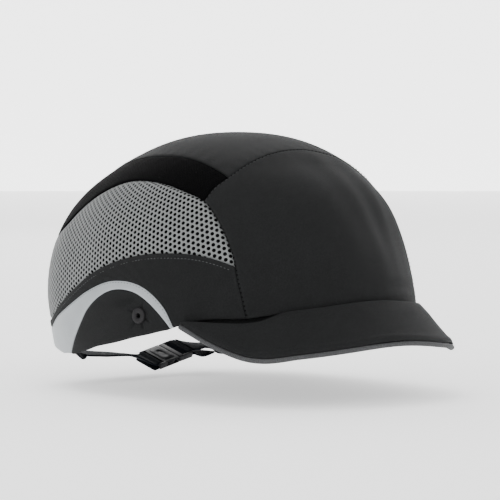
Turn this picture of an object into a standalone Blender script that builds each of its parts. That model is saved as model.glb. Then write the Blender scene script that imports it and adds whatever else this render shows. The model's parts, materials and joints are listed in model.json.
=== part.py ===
"""A short-peaked bump cap: sewn fabric cap, ribbed and vented hard shell with foam pads inside it,
stiffened peak, and a nape strap with a small side-release buckle.

Metres, +Z up. The peak points to -Y, the wearer's right is -X. The origin is under the middle of
the cap, on the surface that it stands on.

The crown's surface is laid out on a flat map, as a hatter's pattern is. A point (u, v) of the map,
in degrees, is hypot(u, v) away from the top of the crown, with u towards the wearer's right and v
towards the front. Seams are smooth lines through a few points of this map.
"""

import math

import bmesh
import bpy
from mathutils import Matrix, Vector

MM = 0.001

# The crown: an egg-shaped dome, leaning back, around CROWN_CENTRE.
CROWN_CENTRE = Vector((0.0, 0.01336, 0.0371))
CROWN_RISE = 91.5 * MM
CROWN_HALF_WIDTH = 84.0 * MM
CROWN_FRONT = 106.3 * MM
CROWN_REAR = 100.2 * MM
CROWN_LEAN = math.radians(16.9)
FRONT_ROUNDNESS = 2.06
REAR_ROUNDNESS = 3.27
SIDE_ROUNDNESS = 3.04
FRONT_TUCK = 0.21
REAR_TUCK = 0.50
SIDE_TUCK = 0.40
PLAN_ROUNDNESS = 2.04
NORMAL_STEP = 0.4

# Layers, as depths under the crown's outer face.
FABRIC_WALL = 1.2 * MM
SEAM_GAP = 0.6 * MM
WASHER_DEPTH = 1.5 * MM
WASHER_WALL = 0.6 * MM
LOOP_DEPTH = 1.7 * MM
LOOP_WALL = 1.6 * MM
SWEATBAND_DEPTH = 2.5 * MM
SWEATBAND_WALL = 1.6 * MM
SWEATBAND_HEIGHT = 16.0
SWEATBAND_HEM_GAP = 1.0
HOOK_DEPTH = 3.8 * MM
HOOK_WALL = 1.6 * MM
SHELL_DEPTH = 6.0 * MM
SHELL_WALL = 2.0 * MM
PAD_DEPTH = 8.8 * MM
PAD_WALL = 4.0 * MM

# Seams of the wearer's right half, on the map; the left half is their mirror image.
HEM_POINTS = [(0, 84.2), (18.2, 83), (34.7, 78.8), (50.3, 71.8), (62.5, 62), (74.6, 50.9),
              (78.9, 46.6), (87.8, 33.4), (96.1, 13.5), (99.5, -9.6), (99, -22), (97.6, -31),
              (96.1, -35.3), (89.6, -49.8), (75, -68), (56.5, -84.8)]
FRONT_SEAM_POINTS = [(50.3, 71.8), (46.8, 61.5), (44.9, 57.4), (43.4, 53.5), (41.1, 45.1), (39.2, 34.4)]
CORONAL_POINTS = [(39.2, 34.4), (34, 33.7), (28.4, 34), (14, 33), (0, 32.2)]
CROWN_EDGE_POINTS = [(28.4, 34), (29.2, 18), (30.6, 3), (30.3, -10), (27, -30), (22.5, -50),
                     (20.3, -60), (19.7, -62.5), (16.2, -74)]
MESH_TOP_POINTS = [(39.2, 34.4), (41.3, 17.5), (42.8, 0), (45.4, -13), (48.4, -25), (49.3, -36),
                   (44, -50), (31.5, -59.5), (19.7, -62.5)]
MESH_BOTTOM_POINTS = [(44.9, 57.4), (51.6, 46.1), (59.6, 32.1), (67.4, 14.9), (73.1, -1.8),
                      (77.2, -20), (77.4, -34), (74.8, -48), (69.9, -59.3), (60, -70.6), (47, -79.7)]
BAND_TOP_POINTS = [(75.3, 49.2), (73.9, 40.4), (73.3, 26.7), (75.4, 11.6), (79.7, -8.8), (81.3, -23.8),
                   (79.6, -39.4), (72.9, -58.9), (63, -71.4), (50.5, -80.9)]
BAND_BOTTOM_POINTS = [(77.2, 47), (76.6, 34), (76.5, 23.2), (79.1, 8.6), (84.9, -7.6), (91, -20.5),
                      (96.1, -35.3)]
ARCH_POINTS = [(56.5, -84.8), (50.5, -80.9), (47, -79.7), (38, -77.3), (29.4, -75.4), (16.2, -74),
               (0, -73.2)]

# The peak, from the hem between its two roots.
PEAK_ROOT = 5
PEAK_LENGTH = 28.0 * MM
PEAK_FLARE = 14.5 * MM
PEAK_TAPER = 15.0 * MM
PEAK_STAND_OFF = 2.0 * MM
PEAK_RAISE = 1.5
PEAK_DROOP = 46.0
PEAK_SIDE_DROOP = 16.0
PEAK_SWEEP = 1.5
PEAK_CROWNING = 1.2 * MM
PEAK_BOARD_WALL = 1.6 * MM
PEAK_COVER_WALL = 0.8 * MM
PEAK_LAYER_GAP = 0.45 * MM
PEAK_REACH_T = 0.92
PIPING_RADIUS = 1.6 * MM
PIPING_CLEARANCE = 0.4 * MM

# Rear arch binding.
BINDING_WIDTH = 2.4 * MM
BINDING_WALL = 2.6 * MM
BINDING_END_GAP = 0.01
ARCH_FOOT = (0, -98)

# Ear eyelets.
EYELET_PLACE = (82.5, 28.9)
EYELET_HOLE = 1.8 * MM
EYELET_BARREL = 2.3 * MM
EYELET_FLANGE = 4.0 * MM
EYELET_RISE = 0.8 * MM
EYELET_CUT = 2.7 * MM
EYELET_CUT_DEPTH = 6.0 * MM
EYELET_LIFT = 0.1 * MM
EYELET_ROUNDING = 0.5 * MM

# Hard shell and pads.
SHELL_CELLS = 18
SHELL_RIM = 67.5
SHELL_RIM_FORWARD = 9.0
SIDE_VENTS = ((3, 4), (5, 7, 9, 11))
TOP_VENTS = ((7,), (5, 11))
REAR_VENTS = ((6, 8), (2,))

# Nape strap and buckle; buckle sizes are in its own frame: x along the strap, y across, z up.
WEBBING_WIDTH = 16.0 * MM
WEBBING_WALL = 1.2 * MM
BUCKLE_PLACE = Vector((15.2, 72.0, -26.9)) * MM
BUCKLE_PITCH = math.radians(14.0)
BUCKLE_TILT = math.radians(19.0)
BUCKLE_WIDTH = 20.0 * MM
BUCKLE_THICKNESS = 6.4 * MM
BUCKLE_HALF_LENGTH = 14.0 * MM
BUCKLE_MOUTH = 2.5 * MM
PART_GAP = 0.3 * MM
BAR_RADIUS = 1.2 * MM
BAR_PLACE = 12.7 * MM
CHEEK_WALL = 1.3 * MM
POCKET_HALF_HEIGHT = 1.9 * MM
ARM_HALF_HEIGHT = 1.5 * MM
ARM_TIP = -6.0 * MM
ARM_ROOT = 7.2 * MM
ARM_OUTLINE = [(0, -1.0), (0, 1.0), (-2.6, 1.0), (-4.6, 2.5), (-8.0, 2.5), (-8.4, 1.9), (-8.4, -0.4),
               (-2.6, -1.0)]
HOUSING_SOLID_START = -9.6 * MM
CHANNEL_START = -7.2 * MM
MIDDLE_CHANNEL = 2.2 * MM
SIDE_CHANNEL = 3.6 * MM
PRONG_HALF_WIDTH = 1.7 * MM
CLIP_SOLID_END = 6.6 * MM
CLIP_BAR_PLACE = 11.6 * MM
EDGE_ROUNDING = 0.8 * MM
CUT_REACH = 20.0 * MM

FINISHES = {
    "fabric": ((0.022, 0.023, 0.024), 0.85, 0.0),
    "black_mesh": ((0.006, 0.006, 0.007), 0.9, 0.0),
    "grey_mesh": ((0.30, 0.31, 0.31), 0.85, 0.0),
    "reflective": ((0.42, 0.44, 0.45), 0.45, 0.2),
    "piping": ((0.11, 0.11, 0.11), 0.8, 0.0),
    "webbing": ((0.016, 0.018, 0.024), 0.8, 0.0),
    "buckle": ((0.03, 0.03, 0.035), 0.45, 0.0),
    "eyelet": ((0.07, 0.07, 0.07), 0.5, 0.0),
    "shell": ((0.02, 0.02, 0.022), 0.4, 0.0),
    "foam": ((0.03, 0.03, 0.03), 0.95, 0.0),
    "board": ((0.55, 0.55, 0.53), 0.6, 0.0),
    "hook_and_loop": ((0.012, 0.012, 0.013), 0.95, 0.0),
}


def clear_scene():
    """Remove whatever the file holds."""
    for thing in list(bpy.data.objects):
        bpy.data.objects.remove(thing, do_unlink=True)


def finish(name):
    """The material of one finish, made once."""
    known = bpy.data.materials.get(name)
    if known:
        return known
    colour, roughness, metallic = FINISHES[name]
    material = bpy.data.materials.new(name)
    material.use_nodes = True
    shader = material.node_tree.nodes["Principled BSDF"]
    shader.inputs["Base Color"].default_value = (*colour, 1.0)
    shader.inputs["Roughness"].default_value = roughness
    shader.inputs["Metallic"].default_value = metallic
    return material


def add_piece(bm, name, finish_name, parent=None, smooth=True):
    """Turn a bmesh into a named object with its finish."""
    mesh = bpy.data.meshes.new(name)
    bm.to_mesh(mesh)
    bm.free()
    if smooth:
        mesh.shade_smooth()
        mesh.set_sharp_from_angle(angle=math.radians(35))
    piece = bpy.data.objects.new(name, mesh)
    piece.data.materials.append(finish(finish_name))
    bpy.context.scene.collection.objects.link(piece)
    piece.parent = parent
    return piece


def add_cutter(bm, name):
    """Turn a bmesh into a hidden guide for a Boolean."""
    cutter = add_piece(bm, name, "board", smooth=False)
    cutter.hide_render = True
    cutter.display_type = "WIRE"
    return cutter


def cut(piece, cutter):
    """Take a cutter's shape out of a piece."""
    boolean = piece.modifiers.new("Cut", "BOOLEAN")
    boolean.operation = "DIFFERENCE"
    boolean.solver = "EXACT"
    boolean.object = cutter


def thicken(piece, wall):
    """Give a sheet its wall, on the side that its faces point away from."""
    solid = piece.modifiers.new("Wall", "SOLIDIFY")
    solid.thickness = wall
    solid.offset = -1.0
    solid.use_even_offset = True


# The crown's surface


def reach_at(height, reach, roundness, tuck, rise):
    """How far the crown reaches at a height over its widest line, which it tucks in below."""
    if height < 0:
        return reach * (1.0 - tuck * (height / rise) ** 2)
    return reach * math.sqrt(max(1.0 - (height / rise) ** roundness, 1e-9))


def is_inside(point, depth):
    """Whether a point, from the crown's centre, is inside the surface at a depth."""
    lean_cos = math.cos(CROWN_LEAN)
    lean_sin = math.sin(CROWN_LEAN)
    along = point.y * lean_cos - point.z * lean_sin
    height = point.y * lean_sin + point.z * lean_cos
    rise = CROWN_RISE - depth
    if height >= rise:
        return False
    side = reach_at(height, CROWN_HALF_WIDTH - depth, SIDE_ROUNDNESS, SIDE_TUCK, rise)
    if along < 0:
        end = reach_at(height, CROWN_FRONT - depth, FRONT_ROUNDNESS, FRONT_TUCK, rise)
    else:
        end = reach_at(height, CROWN_REAR - depth, REAR_ROUNDNESS, REAR_TUCK, rise)
    return (abs(point.x) / side) ** PLAN_ROUNDNESS + (abs(along) / end) ** PLAN_ROUNDNESS < 1.0


def crown_point(place, depth=0.0):
    """The point of the crown at a place on the map, a depth under its outer face."""
    polar = math.radians(math.hypot(place[0], place[1]))
    bearing = math.atan2(place[0], place[1])
    direction = Vector((-math.sin(polar) * math.sin(bearing),
                        -math.sin(polar) * math.cos(bearing), math.cos(polar)))
    low, high = 0.0, 0.2
    for _ in range(30):
        middle = (low + high) / 2
        if is_inside(direction * middle, depth):
            low = middle
        else:
            high = middle
    return CROWN_CENTRE + direction * low


def crown_normal(place):
    """The outward normal of the crown at a place on the map."""
    u, v = place
    across = crown_point((u + NORMAL_STEP, v)) - crown_point((u - NORMAL_STEP, v))
    along = crown_point((u, v + NORMAL_STEP)) - crown_point((u, v - NORMAL_STEP))
    normal = across.cross(along).normalized()
    return normal if normal.dot(crown_point(place) - CROWN_CENTRE) > 0 else -normal


# Lines


class Line:
    """A smooth line through a few points, read from 0 to 1 by length."""

    def __init__(self, points):
        self.points = [Vector(point) for point in points]
        self.stops = [0.0]
        for start, end in zip(self.points, self.points[1:]):
            self.stops.append(self.stops[-1] + (end - start).length)

    def slope(self, index):
        """The line's direction at one of its points."""
        before = max(index - 1, 0)
        after = min(index + 1, len(self.points) - 1)
        return (self.points[after] - self.points[before]) / (self.stops[after] - self.stops[before])

    def at(self, share):
        """The point at a share of the length."""
        length = min(max(share, 0.0), 1.0) * self.stops[-1]
        index = 0
        while index < len(self.points) - 2 and length > self.stops[index + 1]:
            index += 1
        span = self.stops[index + 1] - self.stops[index]
        t = (length - self.stops[index]) / span
        start, end = self.points[index], self.points[index + 1]
        ease = 3 * t * t - 2 * t * t * t
        bend_in = self.slope(index) * (span * (t - 2 * t * t + t * t * t))
        bend_out = self.slope(index + 1) * (span * (t * t * t - t * t))
        return start * (1 - ease) + end * ease + bend_in + bend_out

    def share(self, index):
        """The share of the length at one of the points."""
        return self.stops[index] / self.stops[-1]


class Stretch:
    """Part of a line, between two of its points; it can run backwards."""

    def __init__(self, line, first, last):
        self.line = line
        self.start = line.share(first)
        self.end = line.share(last)
        self.length = abs(line.stops[last] - line.stops[first])

    def at(self, share):
        """The point at a share of the stretch."""
        return self.line.at(self.start + (self.end - self.start) * share)


class Straight:
    """A straight line between two points."""

    def __init__(self, start, end):
        self.start = Vector(start)
        self.end = Vector(end)
        self.length = (self.end - self.start).length

    def at(self, share):
        """The point at a share of the line."""
        return self.start.lerp(self.end, share)


class Chain:
    """Several lines end to end, read as one."""

    def __init__(self, *links):
        self.links = links
        self.length = sum(link.length for link in links)

    def at(self, share):
        """The point at a share of the whole length."""
        left = share * self.length
        for link in self.links[:-1]:
            if left <= link.length:
                return link.at(left / link.length)
            left -= link.length
        return self.links[-1].at(min(left / self.links[-1].length, 1.0))


def both_sides(points):
    """A line's points from the wearer's right to the left, given the right half up to the middle."""
    return points + [(-u, v) for u, v in reversed(points[:-1])]


HEM = Line(HEM_POINTS)
WHOLE_HEM = Line(both_sides(HEM_POINTS[::-1]))
FRONT_SEAM = Line(FRONT_SEAM_POINTS)
CORONAL = Line(both_sides(CORONAL_POINTS))
CROWN_EDGE = Line(CROWN_EDGE_POINTS)
MESH_TOP = Line(MESH_TOP_POINTS)
MESH_BOTTOM = Line(MESH_BOTTOM_POINTS)
BAND_TOP = Line(BAND_TOP_POINTS)
BAND_BOTTOM = Line(BAND_BOTTOM_POINTS)
ARCH = Line(both_sides(ARCH_POINTS))
HEM_COUNT = len(HEM_POINTS)


def whole(line):
    """A whole line as a stretch."""
    return Stretch(line, 0, len(line.points) - 1)


def mirrored(place, side):
    """A map place on the wearer's right (side 1) or left (side -1)."""
    return (place[0] * side, place[1])


# Sheets


def face_outwards(bm):
    """Point every face away from the crown's centre."""
    bm.normal_update()
    inward = [face for face in bm.faces
              if face.normal.dot(face.calc_center_median() - CROWN_CENTRE) < 0]
    if inward:
        bmesh.ops.reverse_faces(bm, faces=inward)
    bm.normal_update()


def draw_in_border(bm, distance):
    """Move a sheet's border in by a distance, to leave a seam's gap."""
    moves = {}
    for edge in bm.edges:
        if not edge.is_boundary:
            continue
        face = edge.link_faces[0]
        inward = face.normal.cross(edge.verts[1].co - edge.verts[0].co).normalized()
        if inward.dot(face.calc_center_median() - edge.verts[0].co) < 0:
            inward.negate()
        for vert in edge.verts:
            moves.setdefault(vert, []).append(inward)
    for vert, pair in moves.items():
        share = 1.0 + pair[0].dot(pair[-1])
        vert.co += (pair[0] + pair[-1]) * (distance / max(share, 0.5))


def grid_sheet(cells_across, cells_along, place_of):
    """A grid whose points are laid by a function of two shares from 0 to 1."""
    bm = bmesh.new()
    bmesh.ops.create_grid(bm, x_segments=cells_across, y_segments=cells_along, size=0.5)
    for vert in bm.verts:
        vert.co = place_of(vert.co.x + 0.5, vert.co.y + 0.5)
    return bm


def add_panel(name, finish_name, sides, cells, side=1, depth=0.0, wall=FABRIC_WALL, gap=SEAM_GAP):
    """A sewn panel between four seams: lower, upper, first end and last end."""
    lower, upper, first, last = sides

    def place_of(s, t):
        place = lower.at(s) * (1 - t) + upper.at(s) * t + first.at(t) * (1 - s) + last.at(t) * s
        place -= (lower.at(0) * (1 - s) + lower.at(1) * s) * (1 - t)
        place -= (upper.at(0) * (1 - s) + upper.at(1) * s) * t
        return crown_point(mirrored(place, side), depth)

    bm = grid_sheet(cells[0], cells[1], place_of)
    face_outwards(bm)
    draw_in_border(bm, gap / 2)
    panel = add_piece(bm, name, finish_name)
    thicken(panel, wall)
    return panel


def disc_place(s, t, middle, half_sizes):
    """Lay a square grid's shares on an oval of the map, without a pole."""
    a = 2 * s - 1
    b = 2 * t - 1
    u = a * math.sqrt(1 - b * b / 2)
    v = b * math.sqrt(1 - a * a / 2)
    return (middle[0] + u * half_sizes[0], middle[1] + v * half_sizes[1])


def add_oval(name, finish_name, middle, half_sizes, cells, depth, wall):
    """An oval pad or patch that follows the crown."""
    bm = grid_sheet(cells, cells, lambda s, t: crown_point(disc_place(s, t, middle, half_sizes), depth))
    face_outwards(bm)
    oval = add_piece(bm, name, finish_name)
    thicken(oval, wall)
    return oval


# Swept pieces


def frame_at(origin, along, across):
    """A frame whose z runs along a line and whose x lies as near as it can to a direction."""
    z_axis = along.normalized()
    y_axis = z_axis.cross(across).normalized()
    x_axis = y_axis.cross(z_axis)
    frame = Matrix((x_axis, y_axis, z_axis)).transposed().to_4x4()
    frame.translation = origin
    return frame


def sweep(section, frames):
    """Draw a flat section, in x and y, along a row of frames."""
    bm = bmesh.new()
    corners = [bm.verts.new(frames[0] @ Vector((x, y, 0))) for x, y in section]
    face = bm.faces.new(corners)
    for index, (before, after) in enumerate(zip(frames, frames[1:])):
        grown = bmesh.ops.extrude_face_region(bm, geom=[face])["geom"]
        if index:
            bmesh.ops.delete(bm, geom=[face], context="FACES_ONLY")
        moved = [item for item in grown if isinstance(item, bmesh.types.BMVert)]
        face = next(item for item in grown if isinstance(item, bmesh.types.BMFace))
        bmesh.ops.transform(bm, matrix=after @ before.inverted(), verts=moved)
    bmesh.ops.recalc_face_normals(bm, faces=bm.faces)
    return bm


def rectangle(width, height):
    """A rectangular section, its width on x."""
    x, y = width / 2, height / 2
    return [(-x, -y), (x, -y), (x, y), (-x, y)]


def circle(radius, count):
    """A round section."""
    turns = [2 * math.pi * index / count for index in range(count)]
    return [(radius * math.cos(turn), radius * math.sin(turn)) for turn in turns]


def frames_along(route, widths, count):
    """Frames along a route, with their x on the width direction that goes with each point."""
    frames = []
    step = 0.002
    for index in range(count + 1):
        share = index / count
        along = route.at(min(share + step, 1.0)) - route.at(max(share - step, 0.0))
        frames.append(frame_at(route.at(share), along, widths.at(share)))
    return frames


# The cap's sewn parts


def add_front_and_crown():
    """The front panel and the strip that runs back over the head to the arch."""
    front_right = whole(FRONT_SEAM)
    front_left = Line([(-u, v) for u, v in FRONT_SEAM_POINTS])
    middle = HEM_COUNT - 1
    hem = Stretch(WHOLE_HEM, middle - 3, middle + 3)
    seams = (hem, whole(CORONAL), front_right, whole(front_left))
    add_panel("front_panel", "fabric", seams, (14, 12))

    crown_left = Line([(-u, v) for u, v in CROWN_EDGE_POINTS])
    top = Stretch(CORONAL, 2, 6)
    rear = Stretch(ARCH, 5, 7)
    seams = (rear, top, Stretch(CROWN_EDGE, 8, 0), Stretch(crown_left, 8, 0))
    add_panel("crown_panel", "fabric", seams, (7, 16))


def add_side_panels(side, hand):
    """The meshes, fabric panels and reflective band of one side."""
    add_panel("upper_mesh_" + hand, "black_mesh",
              (whole(MESH_TOP), Stretch(CROWN_EDGE, 0, 6), Stretch(CORONAL, 0, 2), Stretch(CROWN_EDGE, 7, 6)),
              (18, 3), side)
    add_panel("rear_mesh_" + hand, "grey_mesh",
              (whole(MESH_BOTTOM), Chain(whole(MESH_TOP), Stretch(CROWN_EDGE, 7, 8)),
               Stretch(FRONT_SEAM, 2, 5), Stretch(ARCH, 2, 5)), (16, 6), side)
    lower = Chain(Stretch(HEM, 3, 5), Straight(HEM_POINTS[5], BAND_TOP_POINTS[0]), whole(BAND_TOP))
    add_panel("side_panel_" + hand, "fabric",
              (lower, whole(MESH_BOTTOM), Stretch(FRONT_SEAM, 0, 2), Stretch(ARCH, 1, 2)), (20, 3), side)
    lower = Chain(whole(BAND_BOTTOM), Stretch(HEM, 12, 15))
    add_panel("reflective_band_" + hand, "reflective",
              (lower, whole(BAND_TOP), Straight(BAND_BOTTOM_POINTS[0], BAND_TOP_POINTS[0]),
               Stretch(ARCH, 0, 1)), (20, 2), side)
    ear = add_panel("ear_panel_" + hand, "fabric",
                    (Stretch(HEM, 6, 11), whole(BAND_BOTTOM), Straight(HEM_POINTS[6], BAND_BOTTOM_POINTS[0]),
                     Stretch(HEM, 11, 12)), (12, 4), side)
    return ear


def add_eyelet(ear, side, hand):
    """A pressed eyelet in the ear panel, with its washer behind the fabric."""
    place = mirrored(EYELET_PLACE, side)
    frame = frame_at(crown_point(place), crown_normal(place), Vector((0, 0, 1)))
    hole = bmesh.new()
    bmesh.ops.create_cone(hole, cap_ends=True, segments=20, radius1=EYELET_CUT, radius2=EYELET_CUT,
                          depth=EYELET_CUT_DEPTH, matrix=frame)
    cut(ear, add_cutter(hole, "eyelet_cutter_" + hand))

    foot = -(FABRIC_WALL + 2 * PART_GAP)
    flange_foot = PART_GAP + EYELET_LIFT
    top = flange_foot + EYELET_RISE
    profile = [(EYELET_HOLE, foot), (EYELET_BARREL, foot), (EYELET_BARREL, flange_foot),
               (EYELET_FLANGE, flange_foot), (EYELET_FLANGE, flange_foot + EYELET_RISE / 2),
               (EYELET_FLANGE - EYELET_ROUNDING, top), (EYELET_HOLE, top)]
    add_piece(turned(profile, 20, frame), "eyelet_" + hand, "eyelet")
    washer = [(EYELET_CUT, -WASHER_DEPTH - WASHER_WALL), (EYELET_FLANGE, -WASHER_DEPTH - WASHER_WALL),
              (EYELET_FLANGE, -WASHER_DEPTH), (EYELET_CUT, -WASHER_DEPTH)]
    add_piece(turned(washer, 20, frame), "eyelet_washer_" + hand, "eyelet")


def turned(profile, segments, frame):
    """A ring turned about a frame's z from a closed profile of radius and height."""
    bm = bmesh.new()
    verts = [bm.verts.new((radius, 0, height)) for radius, height in profile]
    edges = [bm.edges.new((start, end)) for start, end in zip(verts, verts[1:] + verts[:1])]
    bmesh.ops.spin(bm, geom=[*verts, *edges], cent=(0, 0, 0), axis=(0, 0, 1),
                   angle=2 * math.pi, steps=segments, use_merge=True, use_duplicate=False)
    bmesh.ops.remove_doubles(bm, verts=bm.verts, dist=0.01 * MM)
    bmesh.ops.recalc_face_normals(bm, faces=bm.faces)
    bmesh.ops.transform(bm, matrix=frame, verts=bm.verts)
    return bm


def add_sweatband():
    """The band that meets the forehead and temples, along the hem from ear to ear."""
    start = HEM_COUNT - 13
    end = 2 * HEM_COUNT - 2 - start
    hem = Stretch(WHOLE_HEM, start, end)

    def place_of(s, t):
        place = hem.at(s)
        polar = place.length
        place = place * ((polar - SWEATBAND_HEM_GAP - SWEATBAND_HEIGHT * t) / polar)
        return crown_point(place, SWEATBAND_DEPTH)

    bm = grid_sheet(40, 2, place_of)
    face_outwards(bm)
    band = add_piece(bm, "sweatband", "fabric")
    thicken(band, SWEATBAND_WALL)


def add_arch_binding():
    """The tape that binds the edge of the rear arch."""
    count = 26
    arch_foot = crown_point(ARCH_FOOT)
    frames = []
    for index in range(count + 1):
        share = BINDING_END_GAP + (1 - 2 * BINDING_END_GAP) * index / count
        place = ARCH.at(share)
        along = (crown_point(ARCH.at(share + BINDING_END_GAP))
                 - crown_point(ARCH.at(share - BINDING_END_GAP)))
        normal = crown_normal(place)
        into = along.cross(normal).normalized()
        origin = crown_point(place, FABRIC_WALL / 2)
        if into.dot(arch_foot - origin) < 0:
            into.negate()
        shift = BINDING_WIDTH / 2 + SEAM_GAP / 2
        frames.append(frame_at(origin + into * shift, along, normal))
    add_piece(sweep(rectangle(BINDING_WALL, BINDING_WIDTH), frames), "arch_binding", "fabric")


# The peak


def peak_root(t):
    """The peak's seam, with t from -1 at the wearer's right root to 1 at the left one."""
    middle = HEM_COUNT - 1
    reach = (WHOLE_HEM.share(middle + PEAK_ROOT) - WHOLE_HEM.share(middle - PEAK_ROOT)) / 2
    place = WHOLE_HEM.at(0.5 + t * reach)
    place = place * ((place.length - PEAK_RAISE) / place.length)
    return crown_point(place, -PEAK_STAND_OFF)


def peak_way(t):
    """The level direction in which the peak runs out from its seam."""
    step = 0.01
    along = peak_root(t + step) - peak_root(t - step)
    level = Vector((-along.y, along.x, 0)).normalized()
    if level.y > 0:
        level.negate()
    return (level + Vector((0, -PEAK_SWEEP * t * t, 0))).normalized()


def peak_edge(t):
    """The peak's outer edge, opposite a point of its seam."""
    length = (PEAK_LENGTH + PEAK_FLARE * t ** 2 - PEAK_TAPER * t ** 4) * (1 - abs(t) ** 3)
    droop = math.radians(PEAK_DROOP + PEAK_SIDE_DROOP * t * t)
    return peak_root(t) + length * (math.cos(droop) * peak_way(t) - math.sin(droop) * Vector((0, 0, 1)))


def peak_middle(t, s):
    """The peak's middle surface, with s from 0 at the seam to 1 at the edge."""
    root = peak_root(t)
    edge = peak_edge(t)
    out = edge - root
    along = peak_root(t + 0.01) - peak_root(t - 0.01)
    up = out.cross(along)
    if up.z < 0:
        up.negate()
    return root + out * s + up.normalized() * (PEAK_CROWNING * math.sin(math.pi * s))


def peak_share(t, gap):
    """How far across the peak a layer reaches, to stop a gap short of the edge."""
    out = peak_edge(t) - peak_root(t)
    along = (peak_edge(t + 0.005) - peak_edge(t - 0.005)).normalized()
    slant = out.normalized().cross(along).length
    return max(1.0 - gap / (out.length * slant), 0.1)


def add_peak_layer(name, finish_name, lift, wall, edge_gap):
    """One layer of the peak, its middle a lift over the peak's middle surface."""

    def place_of(a, b):
        t = (2 * a - 1) * PEAK_REACH_T
        s = b * peak_share(t, edge_gap)
        step = 0.02
        along = peak_middle(t + step, s) - peak_middle(t - step, s)
        out = peak_middle(t, min(s + step, 1.0)) - peak_middle(t, max(s - step, 0.0))
        up = along.cross(out).normalized()
        if up.z < 0:
            up.negate()
        return peak_middle(t, s) + up * lift

    bm = grid_sheet(24, 3, place_of)
    bm.normal_update()
    if sum(face.normal.z for face in bm.faces) < 0:
        bmesh.ops.reverse_faces(bm, faces=bm.faces)
    layer = add_piece(bm, name, finish_name)
    thicken(layer, wall)
    layer.modifiers["Wall"].offset = 0.0


def add_peak():
    """The stiffened peak: two covers over a board, with piping round the edge."""
    lift = PEAK_BOARD_WALL / 2 + PEAK_LAYER_GAP + PEAK_COVER_WALL / 2
    edge_gap = PIPING_RADIUS + PIPING_CLEARANCE
    add_peak_layer("peak_top_cover", "fabric", lift, PEAK_COVER_WALL, edge_gap)
    add_peak_layer("peak_board", "board", 0.0, PEAK_BOARD_WALL, edge_gap + 0.5 * MM)
    add_peak_layer("peak_under_cover", "fabric", -lift, PEAK_COVER_WALL, edge_gap)
    frames = []
    count = 44
    for index in range(count + 1):
        t = (2 * index / count - 1) * (PEAK_REACH_T + 0.03)
        along = peak_edge(t + 0.004) - peak_edge(t - 0.004)
        frames.append(frame_at(peak_edge(t), along, Vector((0, 0, 1))))
    add_piece(sweep(circle(PIPING_RADIUS, 8), frames), "peak_piping", "piping")


# The hard shell


def shell_place(s, t):
    """Lay a square grid's shares on the whole shell, up to its rim."""
    u, v = disc_place(s, t, (0, 0), (1, 1))
    forward = v / max(math.hypot(u, v), 1e-6)
    polar = SHELL_RIM + SHELL_RIM_FORWARD * forward
    return (u * polar, v * polar)


def is_vent(column, row):
    """Whether a cell of the shell's grid is one of its vents."""
    nearer = min(column, SHELL_CELLS - 1 - column)
    return any(nearer in columns and row in rows for columns, rows in (SIDE_VENTS, TOP_VENTS, REAR_VENTS))


def add_shell():
    """The hard shell, with its vents."""
    bm = grid_sheet(SHELL_CELLS, SHELL_CELLS, lambda s, t: Vector((s, t, 0)))
    vents = []
    for face in bm.faces:
        middle = face.calc_center_median()
        if is_vent(int(middle.x * SHELL_CELLS), int(middle.y * SHELL_CELLS)):
            vents.append(face)
    bmesh.ops.delete(bm, geom=vents, context="FACES")
    for vert in bm.verts:
        vert.co = crown_point(shell_place(vert.co.x, vert.co.y), SHELL_DEPTH)
    face_outwards(bm)
    shell = add_piece(bm, "inner_shell", "shell")
    thicken(shell, SHELL_WALL)


def add_pads():
    """The foam pads inside the shell, and the hook and loop patches that hold it in the cap."""
    add_oval("crown_pad", "foam", (0, 2), (24, 28), 8, PAD_DEPTH, PAD_WALL)
    add_oval("front_pad", "foam", (0, 56), (32, 12), 7, PAD_DEPTH, PAD_WALL)
    add_oval("rear_pad", "foam", (0, -46), (24, 9), 6, PAD_DEPTH, PAD_WALL)
    add_oval("side_pad_right", "foam", (55, 0), (11, 30), 7, PAD_DEPTH, PAD_WALL)
    add_oval("side_pad_left", "foam", (-55, 0), (11, 30), 7, PAD_DEPTH, PAD_WALL)
    for name, middle in (("front", (0, 20)), ("rear", (0, -30))):
        add_oval("hook_patch_" + name, "hook_and_loop", middle, (12, 7), 4, HOOK_DEPTH, HOOK_WALL)
        add_oval("loop_patch_" + name, "hook_and_loop", middle, (13, 8), 4, LOOP_DEPTH, LOOP_WALL)


# The nape strap and buckle


def buckle_frame():
    """The frame of the buckle, x along the strap and z up."""
    x_axis = Vector((math.cos(BUCKLE_PITCH), 0, math.sin(BUCKLE_PITCH)))
    across = Vector((0, math.cos(BUCKLE_TILT), math.sin(BUCKLE_TILT)))
    z_axis = x_axis.cross(across).normalized()
    y_axis = z_axis.cross(x_axis)
    frame = Matrix((x_axis, y_axis, z_axis)).transposed().to_4x4()
    frame.translation = CROWN_CENTRE + BUCKLE_PLACE
    return frame


def add_box(bm, low, high):
    """Add a box to a bmesh."""
    low = Vector(low)
    high = Vector(high)
    size = high - low
    matrix = Matrix.Translation((low + high) / 2) @ Matrix.Diagonal((*size, 1.0))
    bmesh.ops.create_cube(bm, size=1.0, matrix=matrix)


def add_bar(bm, x, half_width):
    """Add a round bar across the strap to a bmesh."""
    matrix = Matrix.Translation((x, 0, 0)) @ Matrix.Rotation(math.pi / 2, 4, "X")
    bmesh.ops.create_cone(bm, cap_ends=True, segments=12, radius1=BAR_RADIUS, radius2=BAR_RADIUS,
                          depth=2 * half_width, matrix=matrix)


def merge_into(piece, bm, name):
    """Join a second shape to a piece."""
    boolean = piece.modifiers.new("Join", "BOOLEAN")
    boolean.operation = "UNION"
    boolean.solver = "EXACT"
    boolean.object = add_cutter(bm, name)
    boolean.object.matrix_world = piece.matrix_world
    boolean.object.parent = piece.parent


def soften(bm):
    """Round a shape's edges a little."""
    bmesh.ops.bevel(bm, geom=list(bm.edges), offset=EDGE_ROUNDING, segments=2, affect="EDGES",
                    profile=0.5, material=-1)


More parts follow.
